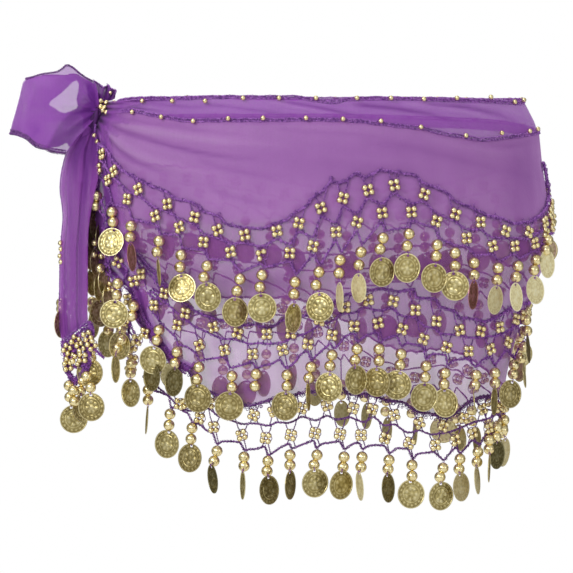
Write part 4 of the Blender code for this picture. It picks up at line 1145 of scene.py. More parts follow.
def back_tier(k, spacing):
    yarns, threads, small, big, coins = Pile(), Pile(), Pile(), Pile(), Pile()
    top, end = net_top[k - 1], BACK_TO[k]
    fine = np.arange(90.5, end, 0.5)
    ring = on_form(fine, top(fine), NET_OUT)
    along = np.concatenate([[0], np.cumsum(np.linalg.norm(np.diff(ring, axis=0), axis=1))])
    n = int(along[-1] / spacing)
    half = np.interp((np.arange(2 * n + 1)) * along[-1] / (2 * n), along, fine)
    shift = 1.0 if k == 1 else 0.0
    a_up, a_low = half[1::2], half[2:-1:2]
    seen = {}
    lift = lambda a: 21.0 * np.clip(1.0 - (np.asarray(a, float) - 90.5) / 24.0, 0.0, 1.0) if k == 3 else 0.0 * np.asarray(a, float)
    if k == 3:
        for at, down, own in BACK_SEEN:
            i = int(np.argmin(np.abs(a_low + 0.9 - at)))
            a_low[i] = at - 0.9
            seen[i] = (down, own)
        a_up = np.concatenate([[a_up[0]], (a_low[1:] + a_low[:-1]) / 2, [a_up[-1]]])
    z = lambda a, d: top(a) - d * MM + 0.8 * MM * np.sin(a * 0.9 + k)
    line = on_form(fine, z(fine, 0.0) + 1.1 * MM * np.sin(fine * 1.7), NET_OUT - 0.3 * MM)
    yarn(yarns, line, thick=0.56 * MM, spin=0.85 * MM, sides=3, step=1.3 * MM, pitch=3.4 * MM)
    picots(yarns, line, every=5.0 * MM, size=1.0 * MM)
    key = [(90.8, top(90.6) - 15.0 * MM)] + sorted([(a, z(a, 15.5)) for a in a_up] + [(a, z(a, 13.5)) for a in a_low])
    yarn(yarns, on_form([p[0] for p in key], [p[1] for p in key], NET_OUT), thick=0.46 * MM, spin=0.62 * MM, sides=3, step=1.4 * MM)
    drops = a_low + 0.9
    key = [(90.8, top(90.6) - 29.0 * MM)] + sorted([(a, z(a, 28.0)) for a in a_low] + [(a, z(a, 35.0 - lift(a))) for a in drops] + [(a + 2.2, z(a, 30.0 - 0.7 * lift(a))) for a in drops])
    yarn(yarns, on_form([p[0] for p in key], [p[1] for p in key], NET_OUT), thick=0.46 * MM, spin=0.62 * MM, sides=3, step=1.4 * MM, soft=0)
    for row, down in ((a_up, 9.0), (a_low, 21.5)):
        for a in row:
            c = on_form(a, z(a, down), NET_OUT + 0.6 * MM)
            cluster(small, yarns, c, math.radians(rng.uniform(-24, 24)), SMALL_BEAD_FAR)
    for i, a in enumerate(drops):
        if k == 1 and i == 0:
            continue
        up = float(lift(a))
        t = on_form(a, z(a, 35.0 - up), NET_OUT)
        hung = t[2]
        sway = 0.25 * rng.standard_normal()
        own = rng.choice([0.0, 0.25, 0.55, 0.95, 1.25]) * rng.choice([-1, 1])
        if a < 108:
            own = rng.uniform(-0.12, 0.12)
        elif k == 3 and a < 130:
            own = math.atan(0.7 * math.tan(math.radians(180.0 - a))) - math.pi / 2 + 0.1
        if (k == 3 and 188 < a < 240) or (k == 2 and 172 < a < 222):
            own = rng.choice([-1, 1]) * rng.uniform(1.05, 1.35)
        hang = 66.0 - up
        if i in seen:
            hang, own = float(top(a)) / MM - seen[i][0], seen[i][1]
        b1 = on_form(a + sway, z(a, hang - 25.0), 5.4 * MM, hung)
        b2 = on_form(a + sway * 1.6, z(a, hang - 16.2), 5.4 * MM, hung)
        out = 4.2 * MM + 11.2 * MM * math.sin(abs(own))
        c = on_form(a + sway * 2, z(a, hang), out, hung)
        nrm, _, _ = frame_at(c)
        yaw = math.atan2(nrm[0], -nrm[1]) + own
        strung(threads, big, coins, t, b1, b2, c, turned_to(yaw, rng.uniform(-0.12, 0.12), rng.uniform(-0.08, 0.08)), i % 3, BIG_BEAD_FAR, COINS_FAR, wear_and_shade=rng.uniform(0.6, 0.9) if k == 3 else None)
    make(f"tier{k}_back_chains", yarns, (YARN, YARN_MID, YARN_LOW)[k - 1], replaces=[f"tier{k}_net_back"])
    make(f"tier{k}_back_threads", threads, YARN)
    make(f"tier{k}_back_small_beads", small, BEAD)
    make(f"tier{k}_back_large_beads", big, BEAD)
    make(f"tier{k}_back_coins", coins, COIN, replaces=[f"tier{k}_coin_fringe_back"], attribute="relief", smooth_angle=42)
    print("BACK", k, n, "pendants", len(drops))


for k in (1, 2, 3):
    back_tier(k, 21.5 * MM)

# ---------------------------------------------------------------------------------------------
# the half bow, the knot and the ruffle
# ---------------------------------------------------------------------------------------------
from mathutils.geometry import delaunay_2d_cdt

BOW_OUTLINE = [(67, 64.6), (61.2, 69.4), (57.4, 71.7), (47.8, 73.2), (41.1, 74.1), (32.5, 77.0), (25.8, 78.9), (22.8, 81.8), (21.2, 88.5), (19.6, 96.1), (15.3, 112.4), (12.4, 122), (10.5, 129.6), (10.5, 133.6), (17.2, 134.2), (22, 136.3), (27.8, 139.2), (31.6, 143), (36.4, 146.9), (42.1, 148.3), (46.9, 149.3), (50.7, 151.7), (56.5, 152.6), (65, 153.6), (70, 149), (76, 139), (84, 130), (92, 122), (98, 114), (99, 104), (98, 92), (95.7, 84), (92.8, 81.3), (86.1, 78), (80.4, 74.1), (72.7, 67.4)]
BOW_INNER = [(66, 75.8), (58, 75.0), (50, 75.0), (41.1, 75.6), (32.5, 78.0), (25.8, 80.2), (23.4, 83), (21.6, 89.5), (20.0, 97.1), (15.8, 113), (13.0, 122), (11.2, 129.6), (11.2, 132.6), (17.2, 133.2), (22, 135.3), (27.8, 138.2), (31.6, 141.8), (36.4, 145.5), (42.1, 147), (47, 148.2), (52.6, 147.3), (59.3, 146.6), (64, 143.8), (67, 142.4), (69, 147), (75, 146), (84, 138), (92, 130), (98, 119), (99, 104), (97, 92), (94.7, 85), (91.8, 82.2), (85.5, 79), (79.6, 75.6), (73, 73.4)]
BOW_GAP = [(76.6, 80.4), (78.9, 83.7), (78.5, 90.4), (76.6, 98.1), (77, 102.8), (78, 105.2), (76.6, 108.6), (69.9, 111.5), (64.1, 113.4), (59.3, 111.5), (53.6, 107.6), (48.8, 104.8), (50.7, 100.9), (57.4, 96.1), (63.2, 91.4), (68.9, 85.6), (72.7, 81.8)]


def inside(poly, x, y):
    hit = False
    n = len(poly)
    for i in range(n):
        (x1, y1), (x2, y2) = poly[i], poly[(i + 1) % n]
        if (y1 > y) != (y2 > y) and x < (x2 - x1) * (y - y1) / (y2 - y1) + x1:
            hit = not hit
    return hit


def rounded(poly, step=1.6, soft=1):
    """A closed outline in even short steps, its corners a little eased."""
    p = np.asarray(list(poly) + [poly[0]], float)
    d = np.concatenate([[0], np.cumsum(np.linalg.norm(np.diff(p, axis=0), axis=1))])
    n = int(d[-1] / step)
    at = np.arange(n) * d[-1] / n
    q = np.stack([np.interp(at, d, p[:, 0]), np.interp(at, d, p[:, 1])], -1)
    for _ in range(soft):
        q = 0.25 * np.roll(q, 1, 0) + 0.5 * q + 0.25 * np.roll(q, -1, 0)
    return q


def filled(outline, hole=None, step=1.9):
    """Triangles that fill an outline, less a hole, in grid squares."""
    rings = [rounded(outline)] + ([rounded(hole, 1.6, 0)] if hole is not None else [])
    pts, edges = [], []
    for r in rings:
        s = len(pts)
        pts += [tuple(p) for p in r]
        edges += [(s + i, s + (i + 1) % len(r)) for i in range(len(r))]
    lo, hi = rings[0].min(0), rings[0].max(0)
    border = np.concatenate(rings)
    for j, y in enumerate(np.arange(lo[1], hi[1], step * 0.866)):
        for x in np.arange(lo[0] + (j % 2) * step / 2, hi[0], step):
            if inside(rings[0], x, y) and (hole is None or not inside(rings[1], x, y)):
                if np.min(np.hypot(border[:, 0] - x, border[:, 1] - y)) > step * 0.55:
                    pts.append((x, y))
    v, _, f, _, _, _ = delaunay_2d_cdt([Vector(p) for p in pts], edges, [], 1, 1e-5)
    v = np.array([p[:] for p in v])
    keep = []
    for t in f:
        c = v[list(t)].mean(0)
        if inside(rings[0], *c) and (hole is None or not inside(rings[1], *c)):
            keep.append(tuple(t))
    return v, np.array(keep)


def free_sheet(name, v2, tris, depth, fold_and_shade, look, replaces=()):
    d = depth(v2)
    pts = np.array([at_depth(x, y, q) for (x, y), q in zip(v2, d)])
    pile = Pile()
    pile.add(pts, tris)
    o = make(name, pile, look, replaces=replaces, uv=v2 * GRID)
    for key, val in (("fold_and_shade", fold_and_shade(v2)), ("backed", np.zeros(len(v2)))):
        a = o.data.attributes.new(key, "FLOAT", "POINT")
        a.data.foreach_set("value", np.asarray(val, np.float32))
    return o


def bow_share(v2):
    """From 0 at the half bow's outer fold to 1 at the knot, and the distance to the tail's edge in squares."""
    x, y = v2[:, 0], v2[:, 1]
    left = np.interp(y, [64, 79, 82, 96, 112, 122, 134, 154], [24, 24, 22.5, 19.3, 15, 12.2, 10.2, 8])
    s = np.clip((x - left - 1.1) / (97 - left), 0, 1)
    d, _ = to_line(v2, [(68, 154), (76, 139), (84, 130), (92, 122), (98, 114)])
    return s, d


def swell(s):
    return np.sqrt(np.clip(1 - (1 - np.clip(s / 0.16, 0, 1)) ** 2, 0, 1)) * (1 - 0.75 * np.clip((s - 0.45) / 0.55, 0, 1) ** 1.6)


def bow_ripple(v2, phase, size):
    s, d = bow_share(v2)
    turn = np.arctan2(v2[:, 1] - 110, 99 - v2[:, 0])
    near = np.clip((s - 0.25) / 0.6, 0, 1)
    return size * (near * np.sin(turn * 9 + phase) + 0.5 * near * np.sin(turn * 17 + 2 * phase) + 0.35 * np.sin(v2[:, 0] * 0.16 + phase) * np.sin(v2[:, 1] * 0.13 + 1.3 * phase))


def bow_front(v2):
    s, d = bow_share(v2)
    g = np.clip(d / 22, 0, 1)
    return (-12 - 21 * swell(s) * (0.25 + 0.75 * g)) * MM + bow_ripple(v2, 0.6, 1.5 * MM) * np.clip(s / 0.05, 0, 1)


def bow_middle(v2):
    s, d = bow_share(v2)
    return (-12 - 5 * swell(s) + 6 * np.clip((s - 0.4) / 0.4, 0, 1)) * MM + bow_ripple(v2, 2.1, 1.3 * MM) * np.clip(s / 0.05, 0, 1)


def bow_back(v2):
    s, d = bow_share(v2)
    return (-12 + 20 * swell(s)) * MM + bow_ripple(v2, 4.0, 1.3 * MM) * np.clip(s / 0.05, 0, 1)


def bow_fold_shade(v2):
    # painted highlight over the upper left, painted shade beside the knot and in the creases that run from it, lighter
    # ridges as painted highlight
    f = spots(v2, [(91, 92, 4, 12, 1.1), (95, 104, 4, 10, 0.9), (35, 129, 8, 7, 0.45), (84, 118, 8, 7, 0.5), (72, 124, 9, 7, 0.35), (45, 97, 14, 9, 0.25), (70, 79, 8, 3, 0.3), (24, 100, 3, 22, -0.35), (30, 86, 7, 6, -0.2), (55, 128, 12, 8, -0.22), (84, 96, 3, 10, -0.2), (57, 143, 9, 4, 0.2), (36, 96, 12, 16, -0.30), (45, 82, 14, 5, -0.25), (62, 122, 9, 7, -0.2), (92, 112, 6, 7, 0.35), (84, 124, 8, 8, -0.35), (30, 131, 12, 4, -0.15)])
    _, t = creases(v2, [
        ([(97, 106), (84, 110), (70, 118), (52, 120), (34, 116)], 0, 2.4, 0.35),
        ([(97, 109), (86, 118), (74, 130), (58, 138)], 0, 2.2, 0.35),
        ([(96, 98), (88, 88), (80, 79), (70, 76)], 0, 2.0, 0.4),
        ([(96, 101), (84, 92), (79, 84)], 0, 1.8, 0.3),
        ([(48, 106), (36, 104), (24, 100)], 0, 2.4, 0.2),
        ([(95, 110), (82, 112), (70, 114), (60, 113)], 0, 1.5, 0.45),
        ([(95, 112), (84, 117), (74, 124), (64, 134)], 0, 1.4, -0.35),
        ([(95, 113), (86, 122), (78, 132)], 0, 1.5, 0.5),
        ([(94, 104), (90, 96), (89, 86), (85, 80)], 0, 1.6, 0.6),
        ([(92, 104), (87, 96), (85, 86)], 0, 1.3, -0.4),
        ([(29, 88), (26, 104), (20, 122)], 0, 2.0, -0.25),
        ([(40, 128), (33, 136), (24, 134)], 0, 2.2, 0.3),
    ])
    return f + t


v2, tris = filled(BOW_OUTLINE)
bow = free_sheet("bow_cloth", v2, tris, bow_front, bow_fold_shade, CHIFFON_BOW, ["bow_loop"])
v2, tris = filled(BOW_INNER, BOW_GAP)
bow_mid = free_sheet("bow_inner_fold_cloth", v2, tris, bow_middle, lambda q: 0.5 * bow_fold_shade(q), CHIFFON_BOW)
bow_bk = free_sheet("bow_return_cloth", v2, tris, bow_back, lambda q: 0 * q[:, 0], CHIFFON_BOW)

pile = Pile()
rim_low = rounded(BOW_OUTLINE, 1.6, 0)
low_edge = [(10.5, 133.2), (17.2, 134.2), (22, 136.3), (27.8, 139.2), (31.6, 143), (36.4, 146.9), (42.1, 148.3), (46.9, 149.3), (50.7, 151.7), (56.5, 152.6), (66, 153.8)]


def bow_line(points, depth, step=1.5):
    p = np.asarray(points, float)
    d = np.concatenate([[0], np.cumsum(np.linalg.norm(np.diff(p, axis=0), axis=1))])
    at = np.linspace(0, d[-1], max(3, int(d[-1] / step)))
    q = np.stack([np.interp(at, d, p[:, 0]), np.interp(at, d, p[:, 1])], -1)
    return np.array([at_depth(x, y, z) for (x, y), z in zip(q, depth(q))])


line = bow_line(low_edge, bow_front)
yarn(pile, line, thick=0.6 * MM, spin=0.85 * MM, step=0.7 * MM)
up = line + np.array([0, 0, 2.6 * MM])
yarn(pile, up, thick=0.36 * MM, spin=0.4 * MM, step=0.8 * MM, sides=4)
yarn(pile, zigzag(line + np.array([0, 0, 1.3 * MM]), 1.4 * MM, 1.7 * MM), thick=0.34 * MM, spin=0.0, strands=1, sides=4, step=0.9 * MM, soft=0, fuzz=0)
picots(pile, line, every=1.9 * MM, size=0.75 * MM, stray=0.35)
top_rim = [(26, 78.8), (32.5, 77.0), (41.1, 74.1), (47.8, 73.2), (57.4, 71.7), (61.2, 69.4), (67, 64.6), (72.7, 67.4), (80.4, 74.1), (86.1, 78), (92.8, 81.3)]
line = bow_line(top_rim, bow_front)
yarn(pile, line, thick=0.5 * MM, spin=0.62 * MM, step=0.8 * MM, sides=4)
picots(pile, line, every=2.6 * MM, size=0.5 * MM, stray=0.3)
yarn(pile, bow_line([(41, 75.6), (50, 75), (58, 75), (66, 75.8), (73, 73.4), (80, 75.6)], bow_middle), thick=0.28 * MM, spin=0.28 * MM, step=0.9 * MM, sides=4)
bow_edge = make("bow_edge_yarn", pile, YARN_LOW)

# ruffle over the knot
RUFFLE_TOP = [(93.5, 80.6), (96, 82.2), (99.6, 84.4), (103.4, 87.6), (106, 86.8), (108.2, 84.8), (110.6, 88.4), (113.2, 89.6), (116.2, 90.4), (114.8, 94.4), (113.6, 99.2)]
RUFFLE_LOW = [(92.5, 101), (94.5, 101.5), (97, 102), (99.5, 102), (102, 102), (104.2, 101.8), (106.2, 101.4), (108, 101), (109.6, 100.8), (110.8, 100.6), (111.8, 100.4)]
cols, rows = 61, 14
c = np.linspace(0, 10, cols)
top2 = np.stack([np.interp(c, range(11), [p[i] for p in RUFFLE_TOP]) for i in (0, 1)], -1)
low2 = np.stack([np.interp(c, range(11), [p[i] for p in RUFFLE_LOW]) for i in (0, 1)], -1)
t = np.linspace(0, 1, rows)[None, :, None]
g2 = top2[:, None] * (1 - t) + low2[:, None] * t
wave = np.sin(c * 2.3 + 0.6)[:, None] * (2.4 * (1 - t[..., 0]) + 0.8)
pts = np.array([[at_depth(x, y, (-4.0 - w) * MM) for (x, y), w in zip(gr, wr)] for gr, wr in zip(g2, wave)])
# The ruffle's tone: painted light and shade on the flutes' sides, deepening towards the bottom and the right; thinner
# and paler at the upper left.
fold_and_shade = 0.30 + 0.22 * np.cos(c * 2.3 + 0.6)[:, None] * np.ones(rows)[None] + 0.25 * np.clip((c[:, None] - 5) / 5, 0, 1) + 0.6 * t[0, :, 0][None] ** 2
fold_and_shade = np.where((c[:, None] < 3) & (t[..., 0] < 0.5), 0.12, fold_and_shade)
ruffle = sheet_mesh("knot_ruffle_cloth", pts, g2 * GRID, fold_and_shade, fold_and_shade * 0, CHIFFON_RUFFLE, ["knot_ruffle"])
ruffle["columns"], ruffle["rows"] = cols, rows
pile = Pile()
yarn(pile, pts[:, 0], thick=0.40 * MM, spin=0.5 * MM, step=0.7 * MM, sides=4)
picots(pile, pts[:, 0], every=1.8 * MM, size=0.8 * MM, stray=0.8)
ruffle_edge = make("knot_ruffle_yarn", pile, YARN)

# the knot: three wraps of bunched cloth that cross
KNOT = np.array([-190.0, -1.0, -3.0]) * MM


def wrap(pile, groove_shades, path, radius, lobes, twist, around=26, steps=40, flat=0.8):
    p = np.asarray(path, float)
    d = np.linspace(0, len(p) - 1, steps)
    # Catmull-Rom through the path
    ends = np.concatenate([[2 * p[0] - p[1]], p, [2 * p[-1] - p[-2]]])
    i = np.minimum(d.astype(int), len(p) - 2)
    u = (d - i)[:, None]
    a, b, c, e = ends[i], ends[i + 1], ends[i + 2], ends[i + 3]
    q = 0.5 * (2 * b + (c - a) * u + (2 * a - 5 * b + 4 * c - e) * u**2 + (3 * b - a - 3 * c + e) * u**3)
    t = np.gradient(q, axis=0)
    t /= np.linalg.norm(t, axis=1)[:, None]
    ref = np.array([0.15, -1.0, 0.1])
    s = np.cross(t, ref)
    s /= np.linalg.norm(s, axis=1)[:, None]
    n = np.cross(s, t)
    w = np.arange(around) * 2 * math.pi / around
    taper = 0.55 + 0.45 * np.sin(np.linspace(0.25, math.pi - 0.25, steps))
    ripple = 1 + 0.13 * np.cos(lobes * w[None] + twist * d[:, None]) + 0.05 * np.cos((lobes + 4) * w[None] - twist * d[:, None])
    r = radius * taper[:, None] * ripple
    v = q[:, None] + r[..., None] * (np.cos(w)[None, :, None] * s[:, None] + flat * np.sin(w)[None, :, None] * n[:, None])
    i, j = np.meshgrid(np.arange(steps - 1), np.arange(around), indexing="ij")
    l = (j + 1) % around
    pile.add(v.reshape(-1, 3), np.stack([i * around + j, i * around + l, (i + 1) * around + l, (i + 1) * around + j], -1).reshape(-1, 4))
    # darker in the wraps' grooves and lighter on their bulges: painted shade and painted light
    groove_shades.append((0.5 - 3.0 * (ripple - 1)).reshape(-1))


pile, groove_shades = Pile(), []
K = lambda *rows: [KNOT + np.array(r) * MM for r in rows]
wrap(pile, groove_shades, K((-8, 3, -7), (-3, -7, -5), (2, -9, 0), (6, -6, 5), (8, 2, 8)), 5.6 * MM, 7, 1.1)
wrap(pile, groove_shades, K((8, 3, -8), (4, -6, -6), (-1, -9, 1), (-5, -6, 6), (-8, 2, 7)), 5.0 * MM, 6, -0.9)
wrap(pile, groove_shades, K((-2, 8, 10), (0, -3, 10), (1, -11, 3), (0, -10, -5), (-2, -3, -11)), 4.6 * MM, 6, 0.8)
wrap(pile, groove_shades, K((-9, 4, 0), (-6, 7, 4), (0, 9, 2), (6, 7, -3), (9, 3, -4)), 5.6 * MM, 7, 1.0)
knot = make("knot_wraps_cloth", pile, CHIFFON_KNOT_SHADE, replaces=["knot"], uv=np.concatenate(pile.v)[:, [0, 2]])
for key, val in (("fold_and_shade", np.concatenate(groove_shades)), ("backed", np.zeros(sum(map(len, groove_shades))))):
    a = knot.data.attributes.new(key, "FLOAT", "POINT")
    a.data.foreach_set("value", val.astype(np.float32))

pile, ties, knot_shade_strands = Pile(), Pile(), Pile()
for x, y, d, big_or_small in ((100.6, 101.2, -14, 1), (106.2, 102.7, -14, 1), (100.4, 106.6, -17, 1), (102.8, 110.2, -18, 1), (106.4, 112.7, -20, 1), (110.2, 92.8, -8, 0.7), (113.8, 102.7, -17, 0.9), (104.6, 107.4, -17, 0.9), (94.3, 135.4, -20, 0.9), (97.1, 141.6, -21, 0.9)):
    p = at_depth(x, y, d * MM)
    instances(pile, SMALL_BEAD, [p], [bead_turn(rng.standard_normal(3))], [big_or_small])
# Thick dark strands across the knot's core, dark yarn where the knot lies in shade: painted shade.
for q in ([(97, 103), (100, 105), (103, 108), (106, 110), (110, 112)], [(98, 108), (101, 111), (104, 113), (108, 116)], [(98, 114), (100, 110), (103, 105), (107, 101)], [(99, 100), (103, 103), (108, 105), (112, 108)]):
    yarn(knot_shade_strands, [at_depth(x, y, -12.5 * MM) for x, y in q], thick=0.8 * MM, spin=1.0 * MM, step=0.8 * MM, sides=5)
yarn(ties, [at_depth(*q, -9 * MM) for q in ((99, 99), (104, 101), (102, 106), (103, 110), (107, 113), (112, 115))], thick=0.4 * MM, spin=0.5 * MM, step=0.8 * MM)
yarn(ties, [at_depth(x, y, d * MM) for x, y, d in ((96, 124, -15), (95, 131, -18), (96, 138, -20), (98, 146, -22), (98, 156, -24), (97.5, 166, -26), (98, 178, -28), (97, 189, -30))], thick=0.5 * MM, spin=0.7 * MM, step=0.8 * MM)
picots(ties, [at_depth(x, y, d * MM) for x, y, d in ((95, 131, -18), (98, 146, -22), (97.5, 166, -26), (97, 189, -30))], every=4 * MM)
make("knot_beads", pile, BEAD)
make("knot_yarn", ties, YARN_MID)
make("knot_core_yarn", knot_shade_strands, YARN_LOW)

# ---------------------------------------------------------------------------------------------
# the free end
# ---------------------------------------------------------------------------------------------
TAIL_EDGES = [  # down, left, right, on the elevation grid
    (117, 93.5, 99.5), (124, 89, 98.8), (130, 84, 98.2), (138, 77, 98), (146, 71, 98), (154, 66, 98.4), (165, 63, 98.8), (175, 61, 98.6), (189, 60, 96), (205, 62, 92.5), (216, 63, 90.5), (235, 61.5, 88.5), (253, 60, 88), (290, 59.5, 88), (309, 59, 87.6), (325, 59.5, 88.5), (341, 62.5, 90),
]


def tail_depth(x, down, share):
    """How far forward the free end hangs, in metres, before its folds."""
    z = -139.2 - (down - GRID_MID) * 0.79
    mm = (x + 216.0) * 0.85
    lean = min(1.0, max(0.0, (z + 56) / 40.0))
    return (-(16.0 + mm) * (1 - lean) - 8.0 * lean) * MM


def tail_sheet(name, cols, rows, bottom, shift, wave, phase, tone, look, replaces=(), squeeze=(0.0, 1.0)):
    pts, g2, fold_and_shade = np.zeros((cols, rows, 3)), np.zeros((cols, rows, 2)), np.zeros((cols, rows))
    for i in range(cols):
        share = squeeze[0] + (squeeze[1] - squeeze[0]) * i / (cols - 1)
        last = bottom(share)
        for j in range(rows):
            down = 117.5 + (last - 117.5) * j / (rows - 1)
            left, right = smooth(TAIL_EDGES, down, 1), smooth(TAIL_EDGES, down, 2)
            gx = left + (right - left) * share
            x_mm = -37.2 + (gx - GRID_MID) * 0.79
            open_ = min(1.0, (down - 112) / 45)
            w = wave * open_ * (math.sin(share * 13.5 + phase + 0.004 * down) + 0.5 * math.sin(share * 29 + 2 * phase - 0.01 * down))
            edge_round = 2.6 * open_ * (1 - math.sin(math.pi * min(1, max(0, share))) ** 0.5)
            y = tail_depth(x_mm, down, share) - (w - edge_round) * MM + shift
            pts[i, j] = at_depth(gx, down, y)
            g2[i, j] = (gx, down)
            # painted shade in the folds' troughs and painted light on their crests, strongest near the top
            fold_and_shade[i, j] = -0.55 * math.sin(share * 13.5 + phase + 0.004 * down) * (0.4 + 0.6 * math.exp(-max(0, down - 120) / 60)) + tone
    p2 = g2.reshape(-1, 2)
    # painted shade beside the knot and down the right edge, lighter painted streaks, darker near the hem, and tiny pale
    # specks as painted glints
    fold_and_shade = fold_and_shade + spots(p2, [(84, 146, 4, 22, 0.8), (79, 150, 3, 16, 0.5), (92, 128, 7, 9, 1.0), (94, 120, 6, 8, 1.2), (73, 158, 3, 18, 0.25), (66, 215, 3, 50, -0.5), (72, 260, 4, 50, 0.22), (82, 180, 4, 24, 0.6), (82, 262, 5, 46, 0.28), (78, 332, 20, 7, 0.5), (86, 160, 2.2, 30, 0.7), (76, 172, 2.0, 26, 0.45), (94, 150, 4, 24, 1.2), (77.5, 270, 1.6, 60, -0.35), (66, 296, 0.8, 1.4, -1.1), (69, 303, 0.8, 1.4, -0.9), (73, 290, 0.7, 1.2, -0.9), (67, 311, 0.7, 1.4, -1.0), (76, 300, 0.7, 1.2, -0.8), (71, 316, 0.8, 1.2, -0.8), (64, 287, 0.7, 1.4, -0.9), (74, 309, 0.7, 1.4, -0.7), (70, 268, 0.7, 1.4, -0.6), (66, 278, 0.6, 1.2, -0.6)]).reshape(cols, rows)
    o = sheet_mesh(name, pts, g2 * GRID, fold_and_shade, fold_and_shade * 0, look, replaces)
    o["columns"], o["rows"] = cols, rows
    return o, pts


BOTTOM = lambda share: 342.0 - 21.0 * share
tail, tail_pts = tail_sheet("tail_cloth", 46, 120, BOTTOM, 0.0, 1.5, 0.3, 0.10, CHIFFON_TAIL, ["tail"])
tail_in, _ = tail_sheet("tail_inner_fold_cloth", 30, 100, lambda s: 341.0 - 21 * s, 4.6 * MM, 1.0, 1.9, 0.1, CHIFFON_TAIL, squeeze=(0.05, 0.97))
tail_bk, _ = tail_sheet("tail_back_fold_cloth", 30, 100, lambda s: 340.0 - 21 * s, 8.2 * MM, 1.0, 3.4, 0.0, CHIFFON_TAIL, squeeze=(0.02, 0.99))


def tail_spot(x, down, forward):
    x_mm = -37.2 + (x - GRID_MID) * 0.79
    return at_depth(x, down, tail_depth(x_mm, min(down, 300), 0) - forward * MM)


yarns, small, big, coins, threads = Pile(), Pile(), Pile(), Pile(), Pile()
low_line = tail_pts[:, -1]
yarn(yarns, low_line, thick=0.5 * MM, spin=0.7 * MM, step=0.7 * MM)
picots(yarns, low_line)
yarn(yarns, tail_pts[0, 8:], thick=0.30 * MM, spin=0.30 * MM, step=1.0 * MM, sides=4)
net = [
    [(64, 341), (67, 352), (75, 351), (82, 345), (88, 339), (92, 330), (90, 321)],
    [(66, 350), (69, 360), (74, 352), (79, 347), (84, 350), (89, 348), (91, 338)],
    [(67, 372), (69, 375), (73.8, 384), (78.8, 377.5), (81, 375), (86, 370), (89, 360), (89, 348)],
    [(70, 372), (73.8, 383), (80, 374), (85, 366), (87, 355), (88, 345)],
    [(73.8, 366), (78, 368), (84, 364), (88, 356), (90, 345)],
    [(63, 341), (66, 356), (67, 368), (71, 377)],
    [(93.8, 348.8), (97.5, 351), (100, 354), (103, 357.5)],
    [(90, 322), (92, 332), (90, 345), (88, 356), (84, 366)],
    [(72, 340), (74, 351), (70, 361), (68, 372)],
]
for n_line in net:
    for dx, deep in ((0, 1.5), (1.8, 0.2), (-1.6, 0.0)):
        line = np.array([tail_spot(x + dx, y + 0.6 * dx, deep) for x, y in n_line])
        yarn(yarns, line, thick=0.55 * MM, spin=0.85 * MM, sides=3, step=0.9 * MM, fuzz=0.25 * MM)
    picots(yarns, line, every=2.4 * MM, size=1.2 * MM, facing=(-0.2, -1, 0))
for d, fill in ((1.5, 1.0), (3.5, 1.0), (6.0, 0.95), (8.5, 0.85), (11.0, 0.7)):
    line = np.array([tail_spot(64.5 + 24.5 * fill * u, 341 + d - 18.5 * fill * u + 1.2 * math.sin(11 * u + d), 0.8 + 0.5 * math.sin(d)) for u in np.linspace(0, 1, 9)])
    yarn(yarns, line, thick=0.5 * MM, spin=0.9 * MM, sides=3, step=0.9 * MM, fuzz=0.4 * MM)
    picots(yarns, line, every=1.7 * MM, size=1.3 * MM, stray=1.3, facing=(-0.2, -1, 0))
for x, y in ((67.5, 349), (75.5, 340.5), (87.5, 336), (68.2, 366), (76.5, 360), (83, 357.5), (70, 357), (91.5, 345), (81, 347)):
    cluster(small, yarns, tail_spot(x, y, 4.2), math.radians(rng.uniform(-40, 40)), SMALL_BEAD, facing=(rng.uniform(-0.5, 0.1), -1, 0))
for x, y in ((60.5, 243), (61, 249), (60, 256), (61, 262)):
    instances(small, SMALL_BEAD_FAR, [tail_spot(x, y, -1.0)], [bead_turn(rng.standard_normal(3))])
for top, b1, b2, c, yaw, fwd in (
    ((69, 376), (69, 385.6), (69.8, 396.9), (73.8, 419), 0.25, 5.5),
    ((74, 383), (73.5, 390.6), (74.4, 401.5), None, 0, 10.5),
    ((86, 369), (86.5, 376.5), (90.6, 387.5), (91.4, 407), -0.3, 8.0),
    ((82, 372), (82.8, 381), (80.5, 391), (82, 408), 0.9, -3.0),
    ((90, 348), (91, 351), (91, 358), (89.8, 372.5), -0.3, -4.0),
    ((60, 300), (61.5, 303), (61.5, 309), (61, 324), 1.15, -9.0),
):
    t0, p1, p2 = tail_spot(*top, 1.5), tail_spot(*b1, fwd), tail_spot(*b2, fwd)
    if c is None:
        strung(threads, big, coins, t0, p1, p2, None, None, 0, BIG_BEAD, COINS)
        continue
    pc = tail_spot(*c, fwd + (1.5 if abs(yaw) < 0.5 else 3))
    lean = math.atan2(p2[0] - pc[0], max(1e-4, p2[2] - pc[2]))
    strung(threads, big, coins, t0, p1, p2, pc, turned_to(yaw, lean), int(rng.integers(3)), BIG_BEAD, COINS, wear_and_shade=0.55 if c[0] > 85 else 0.72)
make("tail_net_yarn", yarns, YARN_MID, replaces=["tail_net"])
make("tail_small_beads", small, BEAD)
make("tail_large_beads", big, BEAD)
make("tail_threads", threads, YARN)
make("tail_coins", coins, COIN, replaces=["tail_coin_fringe"], attribute="relief", smooth_angle=42)

